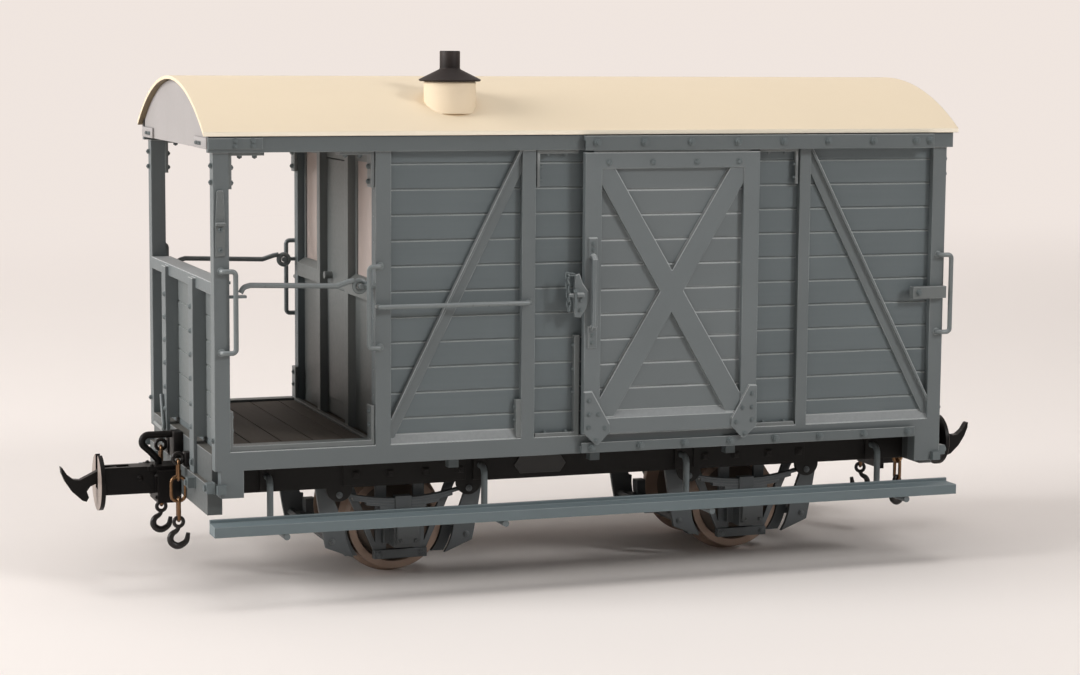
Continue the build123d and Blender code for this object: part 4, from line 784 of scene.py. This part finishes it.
for end, name in ENDS:
    links, rings, hooks = [], [], []
    for side, _ in SIDES:
        for top, bottom, half, across in LINKS:
            corners = ((-half, top), (half, top), (half, bottom), (-half, bottom))
            links.append(hung([(0, u, z) if across else (u, 0, z) for u, z in corners], end, side))
        rings += [hung(round_path(0, 0, z, radius), end, side) for z, radius in CHAIN_RINGS]
        hooks.append(hung([(u, 0, CHAIN_RINGS[1][0] + z) for u, z in CHAIN_HOOK], end, side))
    rods("chain_links_" + name, links, 0.52, 2.0, chain_brass, "van", "chain_brass",
         "safety_chains_" + name, closed=True)
    rods("chain_eyes_" + name, rings, 0.55, 0.1, chain_steel, "van", "chain_brass", closed=True)
    rods("chain_hooks_" + name, hooks, 0.58, 2.1, chain_steel, "van", "chain_brass", swell=0.75)
chain_plates = [((POST_END + 0.02, y - 1.9, 34.0), (POST_END + 1.9, y + 1.9, 38.2))
                for y in (-CHAIN_ACROSS, CHAIN_ACROSS)]
eased_plates("chain_plates", chain_plates, 0, 0.25, coupling_black, "underframe_black")

# Grab rails: round wire in the frame's grey, bent out from the posts, with one level rail on the first panel.
# Each end runs into its post, and the upright ones have a small collar there.
RAIL_ROD, RAIL_BEND = 0.7, 1.1
RAIL_ROOT, GRAB_OUT, LEVEL_OUT = 45.9, 47.7, 48.6
# Grab rails: post, bow along X, low end, high end
GRABS = ((-110.0, 3.7, 70.6, 93.0), (-65.0, -3.6, 70.6, 93.4), (110.0, 3.6, 69.5, 92.9))
LEVEL_LEFT, LEVEL_RIGHT, LEVEL_HEIGHT = -65.7, -21.3, 82.1
RAIL_COLLAR = (14, 1.05, 0.9, 0.4, 14, 1.15, 0.12, 0.3, 0.3)
rail_paint = coated("rail_paint", (0.40, 0.43, 0.435), (0.70, 0.72, 0.71), wear=0.6, dusting=0.3, gloss=0.3,
                    edge=0.0001, dust=PALE_DUST_AND_TOP_LIGHT, shine=0.65)
for side, name in SIDES:
    root, out, level = -side * RAIL_ROOT, -side * GRAB_OUT, -side * LEVEL_OUT
    paths = [[(x, root, low), (x, out, low), (x + bow, out, low), (x + bow, out, high), (x, out, high),
              (x, root, high)] for x, bow, low, high in GRABS]
    rods("grab_rails_" + name, paths, RAIL_ROD, RAIL_BEND, rail_paint, "van", "frame_grey",
         "handrails_" + name)
    feet = [(x, root - side * 0.05, z, (0, -side, 0)) for x, _, low, high in GRABS for z in (low, high)]
    bolts("rail_feet_" + name, RAIL_COLLAR, feet, rail_paint)
    path = [(x, y, LEVEL_HEIGHT) for x, y in ((LEVEL_LEFT, root), (LEVEL_LEFT, level),
                                              (LEVEL_RIGHT, level), (LEVEL_RIGHT, root))]
    rods("level_rail_" + name, [path], RAIL_ROD, RAIL_BEND, rail_paint, "van", "frame_grey")

# Hasp pin: a headed peg dropped through the staple, with a fine chain that keeps it to the hasp.
# Each link is bent wire in the grey of the bolts.
PIN_X, PIN_OUT, PIN_FOOT, PIN_TOP = -8.35, 50.4, 80.4, 85.2
PIN_HEAD = (10, 0.75, 0.55, 0.9, 12, 0.8, 0.15, 0.3, 0.9)
# Fine chain: links, half width, length and pitch of a link, and how far each one leans from the last
FINE_LINKS, FINE_HALF, FINE_LENGTH, FINE_PITCH, FINE_LEAN = 8, 0.55, 1.9, 1.34, 0.07
FINE_X, FINE_FACE, FINE_TOP = -10.75, -49.9, 90.7
fine_links = [[(-8.5, 0, 90.3), (-10.7, 0, 90.6), (-10.7, 0, 90.0), (-8.5, 0, 89.7)]]
for i in range(FINE_LINKS):
    x, top = FINE_X + FINE_LEAN * i, FINE_TOP - FINE_PITCH * i
    bottom = top - FINE_LENGTH
    wide, deep = (0, FINE_HALF) if i % 2 else (-FINE_HALF, 0)
    fine_links.append([(x + wide, deep, top), (x - wide, -deep, top), (x - wide, -deep, bottom),
                       (x + wide, deep, bottom)])
for side, name in SIDES:
    pin_y = -side * PIN_OUT
    placed = [[(x, side * (FINE_FACE + y), z) for x, y, z in link_path] for link_path in fine_links]
    rods("hasp_chain_" + name, placed, 0.2, 0.5, frame_bolt, "door_" + name, "frame_grey", closed=True)
    rods("hasp_pin_" + name, [[(PIN_X, pin_y, PIN_FOOT), (PIN_X, pin_y, PIN_TOP)]], 0.38, 0.1, frame_bolt,
         "door_" + name, "frame_grey")
    bolts("hasp_pin_head_" + name, PIN_HEAD, [(PIN_X, pin_y, PIN_TOP - 0.1, UP)], frame_bolt,
          "door_" + name)

# Lamp irons, brackets, cleats and door stops: short strip, angle and block in the frame's grey.
# They are held by one to four little bolts each. Right-angled cleats stand at the heads of two panels.
DOWN = (0, 0, -1)
IRON_RIVET = (12, 0.6, 0.4, 0.4, 12, 0.75, 0.1, 0.2, 0.4)
SMALL_BOLT = (6, 0.85, 0.8, 0.7, 14, 1.05, 0.18, 0.4, 0.95)
CLEAT_NUT = (6, 0.5, 0.47, 0.6, 10, 0.52, 0.08, 0.2, 0.75)
# Head cleats: left end, right end, left edge of the leg
HEAD_CLEATS = ((50.4, 62.9, 62.0), (-18.7, -6.2, -18.7))
CLEAT_ROOT, CLEAT_FACE, CLEAT_FOOT, CLEAT_BEND, CLEAT_TOP = -45.9, -44.95, 114.8, 124.3, 125.25
cleat_paint = coated("cleat_paint", (0.41, 0.43, 0.43), FRAME_EDGE, wear=0.5, dusting=0.05, gloss=0.48,
                     painted_highlight=0.6)
dress(cleat_paint, "lamp_irons", "corner_brackets", "door_stops")
iron_bolts = [(-110.2, -46.6, z, NEAR) for z in (98.8, 104.4)]
bolts("lamp_iron_bolts", IRON_RIVET, both_sides(iron_bolts), frame_bolt)
bracket_bolts = []
for face, side in ((-107.7, 1), (-66.5, -1)):
    bracket_bolts += [(face + side * a, -43.4, 124.4, DOWN) for a in (3.6, 7.8)]
    bracket_bolts += [(face + side * 0.9, -43.4, z, (side, 0, 0)) for z in (121.1, 116.9)]
bolts("bracket_bolts", SMALL_NUT, both_sides(bracket_bolts), frame_bolt)
cleat_bolts = [(face, -43.5, z, way) for face, way in ((-106.8, OUT_RIGHT), (-67.4, OUT_LEFT))
               for z in (48.6, 52.4)]
cleat_bolts += [(-6.9, -45.0, z, OUT_LEFT) for z in (69.2, 62.3, 55.6)]
cleat_bolts += [(-24.6, -45.0, z, OUT_LEFT) for z in (52.0, 48.3)]
cleat_bolts += [(x, -44.9, 44.1, UP) for x in (-15.7, -9.2, 53.3, 60.0)]
bolts("cleat_bolts", LITTLE_BOLT, both_sides(cleat_bolts), frame_bolt)
head_cleats = []
for left, right, leg in HEAD_CLEATS:
    head_cleats.append(((left, CLEAT_ROOT, CLEAT_BEND), (right, CLEAT_FACE, CLEAT_TOP)))
    head_cleats.append(((leg, CLEAT_ROOT, CLEAT_FOOT), (leg + 0.9, CLEAT_FACE, CLEAT_BEND + 0.1)))
eased_plates("head_cleats", head_cleats, 1, 0.12, cleat_paint, "frame_grey")
cleat_nuts = [(x, -45.4, CLEAT_BEND, DOWN) for x in (53.4, 58.6, -15.3, -9.9)]
cleat_nuts += [(x, -45.4, z, way) for x, way in ((62.0, OUT_LEFT), (-17.8, OUT_RIGHT))
               for z in (120.6, 116.8)]
bolts("head_cleat_bolts", CLEAT_NUT, both_sides(cleat_nuts), frame_bolt)
stop_bolts = [(102.6, -48.4, 81.7, NEAR)]
bolts("stop_bolts", SMALL_BOLT, both_sides(stop_bolts), frame_bolt)

# Bars across the veranda doorways: round rod, cranked over a peg at one end and ringed at the other.
# Each lifts on the eye that its ring is threaded through. A bent rod is also fixed to the end's far upright.
BAR_OUT = 44.0
BAR_ROD = ((-104.2, 86.75), (-103.3, 88.3), (-101.4, 88.8), (-77.0, 88.0), (-73.6, 89.1), (-72.0, 89.35))
BAR_RING_X, BAR_RING_Z, BAR_RING_RADIUS = -70.3, 87.8, 1.62
UPRIGHT_ROD = ((-113.65, 20.9, 50.3), (-113.65, 17.2, 39.9), (-113.65, 30.9, 40.3))
dress(rail_paint, "gate_eyes_near", "gate_eyes_far")
for side, name in SIDES:
    y, body = -side * BAR_OUT, "gate_bar_" + name
    rods("gate_rod_" + name, [[(x, y, z) for x, z in BAR_ROD]], 0.75, 1.6, rail_paint, body, "frame_grey",
         "gate_bar_" + name)
    ring = round_path(BAR_RING_X, y, BAR_RING_Z, BAR_RING_RADIUS)
    rods("gate_ring_" + name, [ring], 0.7, 0.1, rail_paint, body, "frame_grey", closed=True)
rods("upright_rod", [UPRIGHT_ROD], 0.6, 1.5, rail_paint, "van", "frame_grey")

# Six-sided plates on the solebars: plain castings in near black, flat on their face.
# Their edges are rubbed pale.
plate_paint = coated("blank_plate", (0.17, 0.165, 0.16), (0.55, 0.55, 0.53), wear=0.9, dusting=0.1,
                     gloss=0.45, edge=0.0002)
dress(plate_paint, "solebar_plates")

# Setting: a plain pale floor that curves up behind, soft light from the left and above.
# Far behind the van the backdrop shows its own warm white to the camera, and in metal and glass.
FLOOR_WHITE = (0.95, 0.92, 0.90)
BACKDROP_WHITE = (0.94, 0.90, 0.875)
FLOOR_REACH, CURVE_START, CURVE_RADIUS, CURVE_STEPS, WALL_TOP = 60.0, 1.2, 0.5, 12, 4.0
GLOW_START, GLOW_FULL = 0.1, 1.3
floor_mesh = bpy.data.meshes.new("studio_floor")
shape = bmesh.new()
profile = [(-FLOOR_REACH, 0.0), (CURVE_START, 0.0)]
for step in range(1, CURVE_STEPS + 1):
    angle = step * math.pi / 2 / CURVE_STEPS
    back, up = CURVE_RADIUS * math.sin(angle), CURVE_RADIUS - CURVE_RADIUS * math.cos(angle)
    profile.append((CURVE_START + back, up))
profile.append((CURVE_START + CURVE_RADIUS, WALL_TOP))
left, right = ([shape.verts.new((x, y, z)) for y, z in profile] for x in (-FLOOR_REACH, FLOOR_REACH))
for i in range(len(profile) - 1):
    shape.faces.new((left[i], right[i], right[i + 1], left[i + 1]))
shape.to_mesh(floor_mesh)
floor_mesh.shade_smooth()
floor = bpy.data.objects.new("studio_floor", floor_mesh)
bpy.context.scene.collection.objects.link(floor)
floor_material, tree, shader = new_material("studio_floor")
seen = tree.nodes.new("ShaderNodeLightPath").outputs
glow, mixed = tree.nodes.new("ShaderNodeEmission"), tree.nodes.new("ShaderNodeMixShader")
behind = tree.nodes.new("ShaderNodeMapRange")
behind.interpolation_type = "SMOOTHSTEP"
direct = reckon(tree, "ADD", seen["Is Camera Ray"], seen["Is Glossy Ray"])
rays = reckon(tree, "ADD", direct, seen["Is Transmission Ray"], clamp=True)
for socket, value in (
    (shader["Base Color"], linear(FLOOR_WHITE)), (shader["Roughness"], 0.85),
    (glow.inputs["Color"], linear(BACKDROP_WHITE)),
    (behind.inputs["Value"], component(tree, object_place(tree), "Y")),
    (behind.inputs["From Min"], GLOW_START), (behind.inputs["From Max"], GLOW_FULL),
    (mixed.inputs["Fac"], reckon(tree, "MULTIPLY", behind.outputs[0], rays)),
    (mixed.inputs[1], tree.nodes["Principled BSDF"].outputs[0]), (mixed.inputs[2], glow.outputs[0]),
    (tree.nodes["Material Output"].inputs["Surface"], mixed.outputs[0]),
):
    feed(tree, socket, value)
floor_mesh.materials.append(floor_material)

world = bpy.data.worlds.new("studio")
bpy.context.scene.world = world
world.use_nodes = True
sky = world.node_tree.nodes["Background"].inputs
sky["Color"].default_value = (1.0, 0.98, 0.965, 1)
sky["Strength"].default_value = 0.26
# Lamps: name, place, aim, size, watts
for name, place, aim, size, watts in (
    ("key", (-1.75, 0.1, 0.85), (0.0, 0.0, 0.08), 1.0, 33.0),
    ("top", (0.1, -0.1, 1.9), (0.0, 0.0, 0.1), 1.2, 9.5),
    ("side", (1.1, -1.5, 1.05), (0.0, 0.0, 0.07), 0.4, 13.5),
):
    lamp = bpy.data.lights.new(name, "AREA")
    lamp.size, lamp.energy = size, watts
    light = bpy.data.objects.new(name, lamp)
    light.location = place
    light.rotation_euler = (Vector(aim) - Vector(place)).to_track_quat("-Z", "Y").to_euler()
    bpy.context.scene.collection.objects.link(light)

# Camera: at the photograph's place and angle, with its field of view.
# Its three axes are to the right of the picture, up it and back from it.
CAMERA_PLACE = (-0.25648, -0.71167, 0.15594)
RIGHT_WAY, UP_WAY, BACK_WAY = (0.9415, -0.337, 0.0076), (0.0327, 0.1137, 0.993), (-0.3355, -0.9346, 0.1181)
camera_data = bpy.data.cameras.new("camera")
camera_data.sensor_width, camera_data.lens = 36.0, 83.06
camera_data.clip_start, camera_data.clip_end = 0.01, 20.0
camera = bpy.data.objects.new("camera", camera_data)
turn = Matrix((RIGHT_WAY, UP_WAY, BACK_WAY)).transposed()
camera.matrix_world = Matrix.Translation(Vector(CAMERA_PLACE)) @ turn.to_4x4()
bpy.context.scene.collection.objects.link(camera)
bpy.context.scene.camera = camera
bpy.context.scene.view_settings.view_transform = "Standard"
